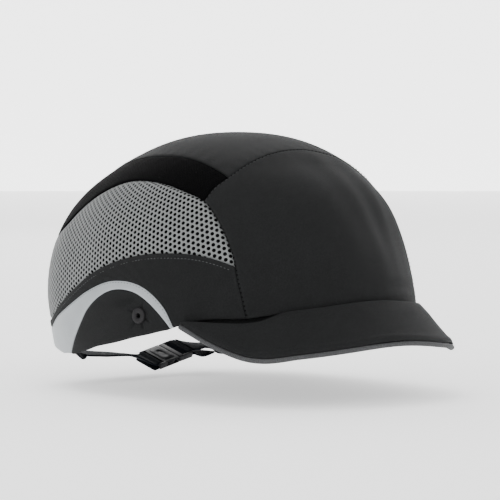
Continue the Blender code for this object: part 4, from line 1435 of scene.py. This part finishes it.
        def lay(s: Array, t: Array) -> tuple[Array, Array, Array]:
            """Places, pattern coordinates and edge wear for the shares."""
            turn = 2 * math.pi * t
            across = 0.5 - 0.5 * np.cos(turn)
            inner = np.sin(turn) < 0
            puff = np.abs(np.sin(turn)) ** 0.5
            seam = np.abs(np.cos(math.pi * channels * s)) ** 14
            full = puff * (1 - 0.42 * seam)
            places = hem.at(s)
            polar = np.linalg.norm(places, axis=1)
            places = places * ((polar - 1.0 - self.band_height * across) / polar)[:, None]
            middle = self.band_depth + self.band_wall / 2
            depth = middle + np.where(inner, 1.15, -0.75) * self.band_wall / 2 * full
            points = CROWN.points(places, depth)
            return points, np.stack([s * hem.length * 1.5, across * 27], 1), np.zeros(len(s))

        bm = lay_sheet((256, 24), lay)
        bmesh.ops.remove_doubles(bm, verts=bm.verts, dist=0.01 * MM)
        bmesh.ops.holes_fill(bm, edges=[edge for edge in bm.edges if edge.is_boundary], sides=0)
        bmesh.ops.recalc_face_normals(bm, faces=bm.faces)
        band = self.maker.piece(bm, "sweatband_pad", Finish.TERRY, "fabric", ["sweatband"])


# The peak


@dataclass
class Peak:
    """The stiffened peak: two covers over a board, with piping round the edge."""

    root_span: int = 5
    length: float = 28.0 * MM
    flare: float = 14.5 * MM
    taper: float = 15.0 * MM
    stand_off: float = 1.3 * MM
    side_stand_off: float = 1.5 * MM
    raised: float = 0.6
    side_drop: float = 1.8
    edge_drop: float = 0.5
    droop: float = 46.0
    side_droop: float = 16.0
    swept: float = 1.5
    crowning: float = -0.5 * MM
    board_wall: float = 1.6 * MM
    cover_wall: float = 0.8 * MM
    layer_gap: float = 0.45 * MM
    reach: float = 0.97
    edge_gap: float = 0.95 * MM
    piping_radius: float = 1.2 * MM
    tuck_in: float = 0.2 * MM
    gather: float = 8.0 * MM
    board_reach: float = 0.80
    seam_share: float = 0.05
    maker: Maker = field(default_factory=lambda: Maker(Body.CAP))

    def root(self, t: Array, drop: float = 0.0) -> Array:
        """The peak's seam.

        Args:
            t: where along it, from -1 at the wearer's right end to 1 at the left one.
            drop: how many degrees it hangs lower on each side, between its middle and its ends.

        Returns:
            n points.
        """
        span = WHOLE_HEM.share(HEM_MIDDLE + self.root_span) - WHOLE_HEM.share(HEM_MIDDLE - self.root_span)
        places = WHOLE_HEM.at(0.5 + t * span / 2)
        polar = np.linalg.norm(places, axis=1)
        rising = np.clip((np.abs(t) - 0.4) / 0.17, 0, 1)
        falling = np.clip((1 - np.abs(t)) / 0.25, 0, 1)
        ease = np.minimum(rising, falling)
        raised = self.raised - drop * ease ** 2 * (3 - 2 * ease)
        stand_off = self.stand_off + self.side_stand_off * t ** 2
        return CROWN.points(places * ((polar - raised) / polar)[:, None], -stand_off)

    def sewn_line(self, t: Array) -> Array:
        """Where the covers are sewn to the crown, under its hem."""
        span = WHOLE_HEM.share(HEM_MIDDLE + self.root_span) - WHOLE_HEM.share(HEM_MIDDLE - self.root_span)
        places = WHOLE_HEM.at(0.5 + t * span / 2)
        polar = np.linalg.norm(places, axis=1)
        return CROWN.points(places * ((polar - 0.4) / polar)[:, None], 2.4 * MM)

    def edge(self, t: Array) -> Array:
        """The peak's outer edge, opposite points of its seam."""
        along = self.root(t + 0.01) - self.root(t - 0.01)
        way = np.stack([-along[:, 1], along[:, 0], np.zeros(len(t))], 1)
        way /= np.linalg.norm(way, axis=1)[:, None]
        way *= -np.sign(way[:, 1])[:, None]
        way[:, 1] -= self.swept * t ** 2
        way /= np.linalg.norm(way, axis=1)[:, None]
        length = (self.length + self.flare * t ** 2 - self.taper * t ** 4) * (1 - np.abs(t) ** 3)
        droop = np.radians(self.droop + self.side_droop * t * t)
        fall = np.cos(droop)[:, None] * way - np.sin(droop)[:, None] * np.array([0, 0, 1])
        return self.root(t, self.edge_drop) + length[:, None] * fall

    def layer(self, cells: tuple[int, int], lift: float, gap: float, relief: bool) -> bmesh.types.BMesh:
        """One layer of the peak.

        Args:
            cells: cells along and across it.
            lift: how far its middle is over the peak's middle surface.
            gap: how far short of the edge it stops.
            relief: whether it is cloth, with a welt and tucked in at the seam.

        Returns:
            The sheet.
        """
        def lay(s: Array, t: Array) -> tuple[Array, Array, Array]:
            """Places, pattern coordinates and edge wear for the shares."""
            turn = (2 * s - 1) * (self.reach if relief else self.board_reach)
            root, edge = self.root(turn, self.side_drop), self.edge(turn)
            out = edge - root
            size = np.linalg.norm(out, axis=1)
            along = self.root(turn + 0.01) - self.root(turn - 0.01)
            up = np.cross(out, along)
            up /= np.linalg.norm(up, axis=1)[:, None]
            up *= np.sign(up[:, 2])[:, None]
            ahead = self.edge(turn + 0.005) - self.edge(turn - 0.005)
            slant = np.linalg.norm(np.cross(out, ahead), axis=1) / size / np.linalg.norm(ahead, axis=1)
            end = np.maximum(1 - gap / (size * slant), 0.1)
            start = -self.tuck_in / size if relief else self.gather / np.maximum(size, 2 * self.gather)
            share = start + (end - start) * t
            gathered = 0.3 + 0.7 * np.clip(share * size / self.gather, 0, 1) ** 0.6
            height = self.crowning * np.sin(math.pi * np.clip(share, 0, 1)) + lift * gathered
            near = (end - share) * size * slant
            if relief:
                side = 1.0 if lift > 0 else -1.0
                height = height + side * 0.35 * MM * np.exp(-((near - 2.6 * MM) / (1.2 * MM)) ** 2)
                height = height - side * 0.55 * MM * np.exp(-(near / (0.8 * MM)) ** 2)
                height = height + 0.30 * MM * sway(root + out * share[:, None], 60 * MM, 2.0)
            points = root + out * share[:, None] + up * height[:, None]
            if relief:
                sewn = self.sewn_line(turn)
                ledge = np.stack([sewn[:, 0], sewn[:, 1], np.minimum(points[:, 2], sewn[:, 2]) - 0.5 * MM], 1)
                points = np.where((t < self.seam_share)[:, None], ledge, points)
                points = np.where((t < self.seam_share / 2)[:, None], sewn, points)
            pattern = np.stack([turn * 95, share * size / MM], 1)
            return points, pattern, np.exp(-near / (1.0 * MM))

        bm = lay_sheet(cells, lay)
        bm.normal_update()
        if sum(face.normal.z for face in bm.faces) < 0:
            bmesh.ops.reverse_faces(bm, faces=bm.faces)
        return bm

    def build(self) -> None:
        """Make the layers and the piping."""
        lift = self.board_wall / 2 + self.layer_gap + self.cover_wall / 2
        self.maker.piece(self.layer((190, 30), lift, self.edge_gap, True), "peak_top_cloth", Finish.FABRIC,
                         "fabric", ["peak_top_cover"], self.cover_wall, 0.0)
        self.maker.piece(self.layer((150, 24), -lift, self.edge_gap, True), "peak_under_cloth",
                         Finish.FABRIC, "fabric", ["peak_under_cover"], self.cover_wall, 0.0)
        self.maker.piece(self.layer((90, 10), 0.0, 2.5 * MM, False), "peak_stiffener", Finish.BOARD, "board",
                         ["peak_board"], self.board_wall, 0.0)
        turn = np.linspace(-1, 1, 221) * (self.reach + 0.012)
        up = np.tile((0.0, 0.0, 1.0), (len(turn), 1))
        radius = self.piping_radius

        def section(t: Array) -> tuple[Array, Array]:
            """A round cord with the small foot by which it is sewn in."""
            angle = 2 * math.pi * t
            return radius * 0.98 * np.cos(angle), radius * (1.0 - 0.08 * np.cos(2 * angle)) * np.sin(angle)

        piping = sweep(self.edge(turn), up, section, 20, 0.9)
        self.maker.piece(piping, "peak_piping_cord", Finish.PIPING, "piping", ["peak_piping"])


# The hard shell, its pads and the patches that hold it


def disc(s: Array, t: Array) -> tuple[Array, Array]:
    """Lay a square's shares on a unit disc, without a pole."""
    a, b = 2 * s - 1, 2 * t - 1
    return a * np.sqrt(1 - b * b / 2), b * np.sqrt(1 - a * a / 2)


@dataclass(frozen=True)
class Oval:
    """An oval pad or patch on the map."""

    name: str
    node: str
    middle: tuple[float, float]
    half: tuple[float, float]


@dataclass
class HardShell:
    """The vented shell with its ribs, foam pads and hook patches."""

    cells: int = 18
    rim: float = 67.5
    forward: float = 9.0
    depth: float = 6.0 * MM
    wall: float = 2.0 * MM
    vents: tuple[tuple[tuple[int, ...], tuple[int, ...]], ...] = (
        ((3, 4), (5, 7, 9, 11)), ((7,), (5, 11)), ((6, 8), (2,)))
    pads: tuple[Oval, ...] = (
        Oval("crown_foam", "crown_pad", (0, 2), (24, 28)), Oval("front_foam", "front_pad", (0, 56), (32, 12)),
        Oval("rear_foam", "rear_pad", (0, -46), (24, 9)),
        Oval("side_foam_right", "side_pad_right", (55, 0), (11, 30)),
        Oval("side_foam_left", "side_pad_left", (-55, 0), (11, 30)))
    pad_depth: float = 8.8 * MM
    cloth_frames: int = 20
    cloth_cap: float = 0.7 * MM
    maker: Maker = field(default_factory=lambda: Maker(Body.SHELL))

    def build(self) -> None:
        """Make the shell, the pads and the patches."""
        self.shell()
        for pad in self.pads:
            self.pad(pad)
        for word, v in (("front", 20), ("rear", -30)):
            patch(self.maker, Oval("hook_tape_" + word, "hook_patch_" + word, (0, v), (12, 7)), 3.8 * MM)

    def is_vent(self, x: float, y: float) -> bool:
        """Whether a place of the unit square is in one of the vents."""
        column, row = int(x * self.cells), int(y * self.cells)
        nearer = min(column, self.cells - 1 - column)
        return any(nearer in columns and row in rows for columns, rows in self.vents)

    def shell(self) -> None:
        """The shell: rounded vents, long ribs and a rolled rim."""
        bm = bmesh.new()
        bmesh.ops.create_grid(bm, x_segments=self.cells, y_segments=self.cells, size=0.5,
                              matrix=Matrix.Translation((0.5, 0.5, 0)))
        vents = [face for face in bm.faces if self.is_vent(*face.calc_center_median()[:2])]
        bmesh.ops.inset_individual(bm, faces=vents, thickness=0.004, use_even_offset=True)
        bmesh.ops.delete(bm, geom=vents, context="FACES")
        bmesh.ops.subdivide_edges(bm, edges=bm.edges, cuts=2, use_grid_fill=True)
        flat = np.array([vert.co[:2] for vert in bm.verts])
        u, v = disc(flat[:, 0], flat[:, 1])
        reach = np.maximum(np.hypot(u, v), 1e-6)
        polar = self.rim + self.forward * v / reach
        places = np.stack([u * polar, v * polar], 1)
        ribs = sum(np.exp(-((places[:, 0] - line) / 1.6) ** 2) for line in (-34, -12, 12, 34))
        ribs = ribs * np.clip((0.86 - reach) / 0.1, 0, 1)
        rim = np.clip((reach - 0.955) / 0.045, 0, 1) ** 2
        depth = self.depth - 0.55 * MM * ribs + 0.7 * MM * rim
        points = CROWN.points(places, depth)
        for vert, point in zip(bm.verts, points):
            vert.co = point
        flat_pattern(bm)
        face_out(bm, Vector(CROWN.centre))
        self.maker.piece(bm, "vented_shell", Finish.SHELL, "shell", ["inner_shell"], self.wall, rounding=1)

    def pad(self, pad: Oval) -> None:
        """One foam pad, puffed between its two faces."""
        def lay(s: Array, t: Array, inner: bool) -> tuple[Array, Array, Array]:
            """Places, pattern coordinates and edge wear for the shares."""
            u, v = disc(s, t)
            reach = np.hypot(u, v)
            places = np.stack([pad.middle[0] + u * pad.half[0], pad.middle[1] + v * pad.half[1]], 1)
            puff = np.sqrt(np.clip(1 - reach ** 7, 0, 1))
            middle = self.pad_depth + 1.5 * MM
            depth = middle + (2.3 if inner else -1.4) * MM * puff
            return CROWN.points(places, depth), places * 1.5, np.zeros(len(s))

        bm = lay_sheet((34, 34), lambda s, t: lay(s, t, False))
        inner = lay_sheet((34, 34), lambda s, t: lay(s, t, True))
        spare = bpy.data.meshes.new("inner_face")
        inner.to_mesh(spare)
        inner.free()
        bm.from_mesh(spare)
        bpy.data.meshes.remove(spare)
        bmesh.ops.remove_doubles(bm, verts=bm.verts, dist=0.02 * MM)
        bmesh.ops.recalc_face_normals(bm, faces=bm.faces)
        foam = self.maker.piece(bm, pad.name, Finish.FOAM, "foam", [pad.node], ride=False)
        self.puff(foam)
        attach(foam, self.maker.body.value)

    def puff(self, foam: bpy.types.Object) -> None:
        """Let a pad's cloth fill out under pressure, each point moving no further than a set limit.

        Args:
            foam: the pad, not yet on a body.
        """
        cloth = foam.modifiers.new("Puff", "CLOTH")
        cloth.settings.use_pressure = True
        cloth.settings.uniform_pressure_force = 4.0
        cloth.settings.effector_weights.gravity = 0.0
        cloth.settings.mass = 0.1
        cloth.settings.quality = 4
        cloth.point_cache.frame_start = 1
        cloth.point_cache.frame_end = self.cloth_frames
        scene = bpy.context.scene
        for number in range(1, self.cloth_frames + 1):
            scene.frame_set(number)
        graph = bpy.context.evaluated_depsgraph_get()
        shape = foam.evaluated_get(graph).data
        count = len(foam.data.vertices)
        after = np.zeros(count * 3)
        shape.vertices.foreach_get("co", after)
        before = np.zeros(count * 3)
        foam.data.vertices.foreach_get("co", before)
        move = (after - before).reshape(-1, 3)
        size = np.linalg.norm(move, axis=1)
        move *= (np.minimum(size, self.cloth_cap) / np.maximum(size, 1e-9))[:, None]
        foam.modifiers.remove(cloth)
        foam.data.vertices.foreach_set("co", before + np.nan_to_num(move).ravel())
        scene.frame_set(1)
        smooth = foam.modifiers.new("Rounding", "SUBSURF")
        smooth.levels = smooth.render_levels = 1


def patch(maker: Maker, oval: Oval, depth: float) -> None:
    """A patch of hook or loop tape that follows the crown, its edges set a little deeper.

    Args:
        maker: who makes it.
        oval: its place and size.
        depth: the depth of its outer face.
    """
    def lay(s: Array, t: Array) -> tuple[Array, Array, Array]:
        """Places, pattern coordinates and edge wear for the shares."""
        u, v = disc(s, t)
        places = np.stack([oval.middle[0] + u * oval.half[0], oval.middle[1] + v * oval.half[1]], 1)
        edge = np.hypot(u, v) ** 12
        return CROWN.points(places, depth + 0.15 * MM * edge), places * 1.5, edge

    bm = lay_sheet((28, 28), lay)
    face_out(bm, Vector(CROWN.centre))
    maker.piece(bm, oval.name, Finish.PILE, "hook_and_loop", [oval.node], 1.5 * MM)


# The nape strap and buckle


@dataclass
class NapeStrap:
    """The webbing of the nape strap and its side-release buckle."""

    place: tuple[float, float, float] = (16.3, 72.0, -26.9)
    slimming: tuple[float, float, float] = (0.82, 0.9, 0.52)
    pitch: float = math.radians(14)
    tilt: float = math.radians(19)
    webbing: tuple[float, float] = (16.0 * MM, 1.2 * MM)
    lift: float = 1.35 * MM
    maker: Maker = field(default_factory=lambda: Maker(Body.CAP))
    clip_maker: Maker = field(default_factory=lambda: Maker(Body.CLIP))

    def frame(self) -> Matrix:
        """The buckle's frame: x along the strap, z up."""
        x_axis = Vector((math.cos(self.pitch), 0, math.sin(self.pitch)))
        across = Vector((0, math.cos(self.tilt), math.sin(self.tilt)))
        z_axis = x_axis.cross(across).normalized()
        made = Matrix((x_axis, z_axis.cross(x_axis), z_axis)).transposed().to_4x4()
        made.translation = Vector(CROWN.centre) + Vector(self.place) * MM
        return made

    def build(self) -> None:
        """Make the buckle and the webbing."""
        self.housing()
        self.clip()
        for side, body in ((-1, Body.ARM_FRONT), (1, Body.ARM_REAR)):
            self.arm(side, body)
        self.straps()

    @staticmethod
    def block(bm: bmesh.types.BMesh, low: Sequence[float], high: Sequence[float],
              rounding: float = 0.55) -> None:
        """Add a rounded block to a mesh.

        Args:
            bm: the mesh.
            low: its lowest corner, in millimetres.
            high: its highest corner, in millimetres.
            rounding: the radius of its edges, in millimetres.
        """
        low, high = Vector(low) * MM, Vector(high) * MM
        matrix = Matrix.Translation((low + high) / 2) @ Matrix.Diagonal((*(high - low), 1.0))
        made = bmesh.ops.create_cube(bm, size=1.0, matrix=matrix)["verts"]
        edges = {edge for vert in made for edge in vert.link_edges}
        bmesh.ops.bevel(bm, geom=list(edges), offset=rounding * MM, segments=4, affect="EDGES", profile=0.5,
                        material=-1)

    @staticmethod
    def bar(bm: bmesh.types.BMesh, x: float) -> None:
        """Add a round bar across the strap to a mesh, at a place in millimetres."""
        matrix = Matrix.Translation((x * MM, 0, 0)) @ Matrix.Rotation(math.pi / 2, 4, "X")
        bmesh.ops.create_cone(bm, cap_ends=True, segments=24, radius1=1.2 * MM, radius2=1.2 * MM,
                              depth=18.6 * MM, matrix=matrix)

    def finish(self, bm: bmesh.types.BMesh, maker: Maker, name: str, finish: Finish,
               nodes: Sequence[str] = ()) -> None:
        """Put a part of the buckle in place and make it."""
        flat_pattern(bm)
        slim = Matrix.Diagonal((*self.slimming, 1.0))
        bmesh.ops.transform(bm, matrix=self.frame() @ slim, verts=bm.verts)
        maker.piece(bm, name, finish, "buckle", nodes)

    def face_plate(self, x_range: tuple[float, float], half: float, height: float,
                   hole: tuple[float, float]) -> bmesh.types.BMesh:
        """A thin rounded plate with an oval hole.

        Args:
            x_range: where it starts and ends on x, in millimetres.
            half: half its width, in millimetres.
            height: its lower face, in millimetres.
            hole: the hole's half sizes, in millimetres.

        Returns:
            The plate, in the buckle's frame.
        """
        bm = bmesh.new()
        middle = sum(x_range) / 2
        sizes = (hole, ((x_range[1] - x_range[0]) / 2, half))
        rings = []
        for index, size in enumerate(sizes):
            verts = bmesh.ops.create_circle(bm, segments=48, radius=1.0)["verts"]
            for vert in verts:
                power = 0.36 if index else 1.0
                x, y = (math.copysign(abs(part) ** power, part) for part in vert.co[:2])
                vert.co = Vector((middle + x * size[0], y * size[1], height)) * MM
            rings += {edge for vert in verts for edge in vert.link_edges}
        bmesh.ops.bridge_loops(bm, edges=rings)
        grown = bmesh.ops.extrude_face_region(bm, geom=list(bm.faces))["geom"]
        moved = [item for item in grown if isinstance(item, bmesh.types.BMVert)]
        bmesh.ops.translate(bm, vec=(0, 0, 0.28 * MM), verts=moved)
        bmesh.ops.recalc_face_normals(bm, faces=bm.faces)
        return bm

    def housing(self) -> None:
        """The housing: two plates, the channels between them, and the bar in its window."""
        bm = bmesh.new()
        for low, high in (((-9.6, -10, 1.9), (2.5, 10, 3.2)), ((-9.6, -10, -3.2), (2.5, 10, -1.9)),
                          ((-9.9, -9.9, -3.15), (-7.2, 9.9, 3.15)), ((-14, 8.7, -3.2), (-8.6, 10, 3.2)),
                          ((-14, -10, -3.2), (-8.6, -8.7, 3.2))):
            self.block(bm, low, high)
        for side in (-1, 1):
            low, high = sorted((side * 2.2, side * 3.6))
            self.block(bm, (-7.6, low, -2.0), (2.4, high, 2.0), 0.2)
        self.bar(bm, -12.7)
        self.finish(bm, self.maker, "buckle_housing", Finish.BUCKLE, ["buckle_female"])
        # The plate on the housing's top carries the oval hole and the sparked grain; its lighter colour is a
        # painted highlight where the top catches the light.
        plate = self.face_plate((-8.2, 1.2), 7.8, 3.12, (1.5, 3.0))
        self.finish(plate, self.maker, "buckle_housing_face", Finish.BUCKLE_FACE)

    def clip(self) -> None:
        """The clip: its shoulder, prong, cheeks and bar."""
        bm = bmesh.new()
        self.block(bm, (2.8, -10, -3.2), (6.6, 10, 3.2), 0.8)
        for side in (-1, 1):
            low, high = sorted((side * 8.7, side * 10))
            self.block(bm, (5.6, low, -3.2), (14, high, 3.2))
        self.block(bm, (-6, -1.7, -1.5), (3.6, 1.7, 1.5), 0.4)
        self.bar(bm, 11.6)
        self.finish(bm, self.clip_maker, "buckle_clip", Finish.BUCKLE, ["buckle_male"])

    def arm(self, side: int, body: Body) -> None:
        """A spring arm of the clip, with the button that the fingers squeeze.

        Args:
            side: -1 for the front arm, 1 for the rear one.
            body: the body that it turns with.
        """
        outline = [(0, -1.0), (0, 1.0), (-2.6, 1.0), (-4.6, 2.5), (-8.0, 2.5), (-8.4, 1.9), (-8.4, -0.4),
                   (-2.6, -1.0)]
        bm = bmesh.new()
        root = Vector((2.4, side * 7.2, 0)) * MM
        verts = [bm.verts.new(root + Vector((x, side * y, -1.5)) * MM) for x, y in outline]
        grown = bmesh.ops.extrude_face_region(bm, geom=[bm.faces.new(verts)])["geom"]
        moved = [item for item in grown if isinstance(item, bmesh.types.BMVert)]
        bmesh.ops.translate(bm, vec=(0, 0, 3.0 * MM), verts=moved)
        bmesh.ops.recalc_face_normals(bm, faces=bm.faces)
        bmesh.ops.bevel(bm, geom=list(bm.edges), offset=0.28 * MM, segments=3, affect="EDGES", profile=0.5,
                        material=-1)
        for index in range(4):
            x = -3.2 - index * 0.9
            low, high = sorted((side * 9.55, side * 9.95))
            self.block(bm, (x - 0.2, low, -1.1), (x + 0.2, high, 1.1), 0.12)
        self.finish(bm, Maker(body), body.value.replace("arm", "buckle_spring_arm"), Finish.BUCKLE,
                    ["release_" + body.value])

    def loop(self, bar: float) -> list[tuple[float, float]]:
        """Points of webbing that comes in over a bar from -x, turns round it and goes back under it."""
        way = 1 if bar > 0 else -1
        points = [(bar + way * 3 * MM, self.lift)]
        for index in range(13):
            turn = math.pi * index / 12
            points.append((bar - way * self.lift * math.sin(turn), self.lift * math.cos(turn)))
        return [*points, (bar + way * 4 * MM, -self.lift), (bar + way * 9 * MM, -self.lift)]

    def strap(self, name: str, points: Sequence[Vector], widths: Sequence[Vector], cells: int,
              ride: bool = True, maker: Maker | None = None, node: str = "") -> bpy.types.Object:
        """Make one length of webbing.

        Args:
            name: its name.
            points: the points of its route.
            widths: the direction across it at each of them.
            cells: how many cells it has along it.
            ride: whether it rides on the cap.
            maker: who makes it, if not the cap's maker.
            node: the CAD node that it stands for.

        Returns:
            The webbing.
        """
        route = Line([tuple(point) for point in points])
        shares = np.linspace(0, 1, cells + 1)
        stops = route.stops / route.length
        turned_widths = np.array([tuple(Vector(width).normalized()) for width in widths])
        across = np.stack([np.interp(shares, stops, turned_widths[:, axis]) for axis in range(3)], 1)
        bm = sweep(route.at(shares), across, tape_section(*self.webbing, 7.0), 28, 0.97)
        return (maker or self.maker).piece(bm, name, Finish.WEBBING, "webbing", [node], ride=ride)

    def straps(self) -> None:
        """The three lengths of webbing."""
        frame = self.frame()
        centre = Vector(CROWN.centre)
        tilted = frame.to_3x3() @ Vector((0, 1, 0))
        flat, upright = Vector((0, 1, 0)), Vector((0, 0.05, 1))
        slanted, level = Vector((0, 0.5, 0.85)), Vector((0, 1, 0.1))
        stops = [(-64, 56.5, -8), (-60.5, 61.5, -12.5), (-54, 63.5, -18), (-46, 70, -22.2), (-30, 72.5, -24),
                 (-10, 72.5, -25.6)]
        points = [centre + Vector(stop) * MM for stop in stops]
        loop = [frame @ Vector((x, 0, z)) for x, z in self.loop(-12.7 * self.slimming[0] * MM)[:-1]]
        widths = [upright, slanted, Vector((0, 0.85, 0.5)), level, level, flat] + [tilted] * len(loop)
        self.strap("nape_webbing_right", points + loop, widths, 170, node="strap_right")
        turned_back = self.loop(11.6 * self.slimming[0] * MM)
        points = [frame @ Vector((x, 0, z)) for x, z in turned_back[:-1]]
        widths = [tilted] * len(points) + [tilted.lerp(flat, 0.5), flat]
        points += [centre + Vector((36, 72, -27.2)) * MM, centre + Vector((44, 72, -26.6)) * MM]
        self.strap("nape_webbing_tail", points, widths, 120, maker=self.clip_maker, node="strap_left_tail")
        start = frame @ Vector((turned_back[0][0] + 0.9 * MM, 0, self.lift))
        stops = [(38, 72.4, -23), (46, 70, -23.2), (54, 62.5, -19), (60.5, 61.5, -12), (64, 56.5, -8)]
        points = [start] + [centre + Vector(stop) * MM for stop in stops]
        widths = [tilted, level, level, slanted, upright, upright]
        run = self.strap("nape_webbing_left", points, widths, 110, False, node="strap_left_run")
        tuple(points[3])
        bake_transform(run)


# The studio


@dataclass(frozen=True)
class Lamp:
    """A soft square light."""

    name: str
    place: tuple[float, float, float]
    size: float
    power: float


@dataclass(frozen=True)
class Studio:
    """A pale floor, soft lights and the camera."""

    azimuth: float = -40.0
    elevation: float = 4.0
    distance: float = 1.4
    lens: float = 196.1
    aim_right: float = 11.05 * MM
    aim_up: float = 32.4 * MM
    pale: float = 0.95
    glow: float = 2.2
    floor_glow: float = 0.7
    lamps: tuple[Lamp, ...] = (Lamp("front_key", (0.1, -1.6, 1.3), 1.3, 10.0),
                               Lamp("side_fill", (-1.6, 0.1, 0.9), 1.2, 7.0),
                               Lamp("top_fill", (0.0, 0.4, 1.8), 1.4, 9.0),
                               Lamp("rear_rim", (0.6, 1.6, 1.0), 1.0, 6.0))

    def build(self) -> None:
        """Make the floor, the lights, the world and the camera."""
        bm = bmesh.new()
        bmesh.ops.create_grid(bm, x_segments=1, y_segments=1, size=6.0)
        mesh = bpy.data.meshes.new("floor")
        bm.to_mesh(mesh)
        bm.free()
        graph = Graph("pale_floor")
        cloud = graph.noise(0.4, 2.0)
        colour = graph.blend(cloud, (self.pale, self.pale, self.pale), (self.pale - 0.02,) * 3)
        graph.set(base_color=colour, roughness=0.9, specular_ior_level=0.1, emission_color=colour,
                  emission_strength=self.floor_glow)
        mesh.materials.append(graph.material)
        floor = bpy.data.objects.new("floor", mesh)
        bpy.context.scene.collection.objects.link(floor)
        made = [floor]
        target = Vector(CROWN.centre)
        for lamp in self.lamps:
            data = bpy.data.lights.new(lamp.name, "AREA")
            data.size = lamp.size
            data.energy = lamp.power
            light = bpy.data.objects.new(lamp.name, data)
            light.location = lamp.place
            light.rotation_euler = (target - light.location).to_track_quat("-Z", "Y").to_euler()
            bpy.context.scene.collection.objects.link(light)
            made.append(light)
        world = bpy.data.worlds.new("pale_world")
        world.use_nodes = True
        world.node_tree.nodes["Background"].inputs["Color"].default_value = (1.0, 1.0, 1.0, 1.0)
        world.node_tree.nodes["Background"].inputs["Strength"].default_value = 0.95
        bpy.context.scene.world = world
        made += [self.camera(), self.backdrop()]
        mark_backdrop(*made)

    def backdrop(self) -> bpy.types.Object:
        """A broad white sheet far behind the cap, lit from behind."""
        turn = math.radians(self.azimuth)
        ahead = Vector((-math.sin(turn), math.cos(turn), 0))
        place = frame_at(ahead * 4.0 + Vector((0, 0, 1.5)), -ahead, Vector((0, 0, 1)))
        bm = bmesh.new()
        bmesh.ops.create_grid(bm, x_segments=1, y_segments=1, size=4.5, matrix=place)
        mesh = bpy.data.meshes.new("backdrop")
        bm.to_mesh(mesh)
        bm.free()
        graph = Graph("white_backdrop")
        cloud = graph.noise(1.5, 1.0)
        glow = graph.blend(cloud, (1.0, 1.0, 1.0), (0.97, 0.97, 0.97))
        graph.set(base_color=glow, roughness=1.0, emission_color=glow, emission_strength=self.glow)
        mesh.materials.append(graph.material)
        made = bpy.data.objects.new("backdrop", mesh)
        bpy.context.scene.collection.objects.link(made)
        return made

    def camera(self) -> bpy.types.Object:
        """Make the camera, looking at the cap from its front right."""
        turn, rise = math.radians(self.azimuth), math.radians(self.elevation)
        back = Vector((math.sin(turn) * math.cos(rise), -math.cos(turn) * math.cos(rise), math.sin(rise)))
        right = Vector((math.cos(turn), math.sin(turn), 0))
        up = back.cross(right).normalized()
        data = bpy.data.cameras.new("camera")
        data.lens = self.lens
        data.sensor_width = 36.0
        data.dof.use_dof = False
        data.clip_start = 0.05
        camera = bpy.data.objects.new("camera", data)
        centre = Vector(CROWN.centre)
        camera.location = centre + back * self.distance
        target = centre + right * self.aim_right + up * self.aim_up
        camera.rotation_euler = (target - camera.location).to_track_quat("-Z", "Y").to_euler()
        bpy.context.scene.collection.objects.link(camera)
        bpy.context.scene.camera = camera
        return camera


def write_sizes() -> None:
    """Measure the CAD's box and the finished scene's box as plain lists."""
    boxes = {"cad": CAD_BOX, "scene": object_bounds()}
    plain = {name: [[float(part) for part in corner] for corner in box] for name, box in boxes.items()}


def main() -> None:
    """Build the cap and its studio."""
    logging.basicConfig(level=logging.INFO, format="%(message)s")
    sewn = SewnCrown()
    sewn.build()
    Peak().build()
    HardShell().build()
    for word, v in (("front", 20), ("rear", -30)):
        patch(sewn.maker, Oval("loop_tape_" + word, "loop_patch_" + word, (0, v), (13, 8)), 1.8 * MM)
    NapeStrap().build()
    Studio().build()
    write_sizes()


if __name__ == "__main__":
    main()
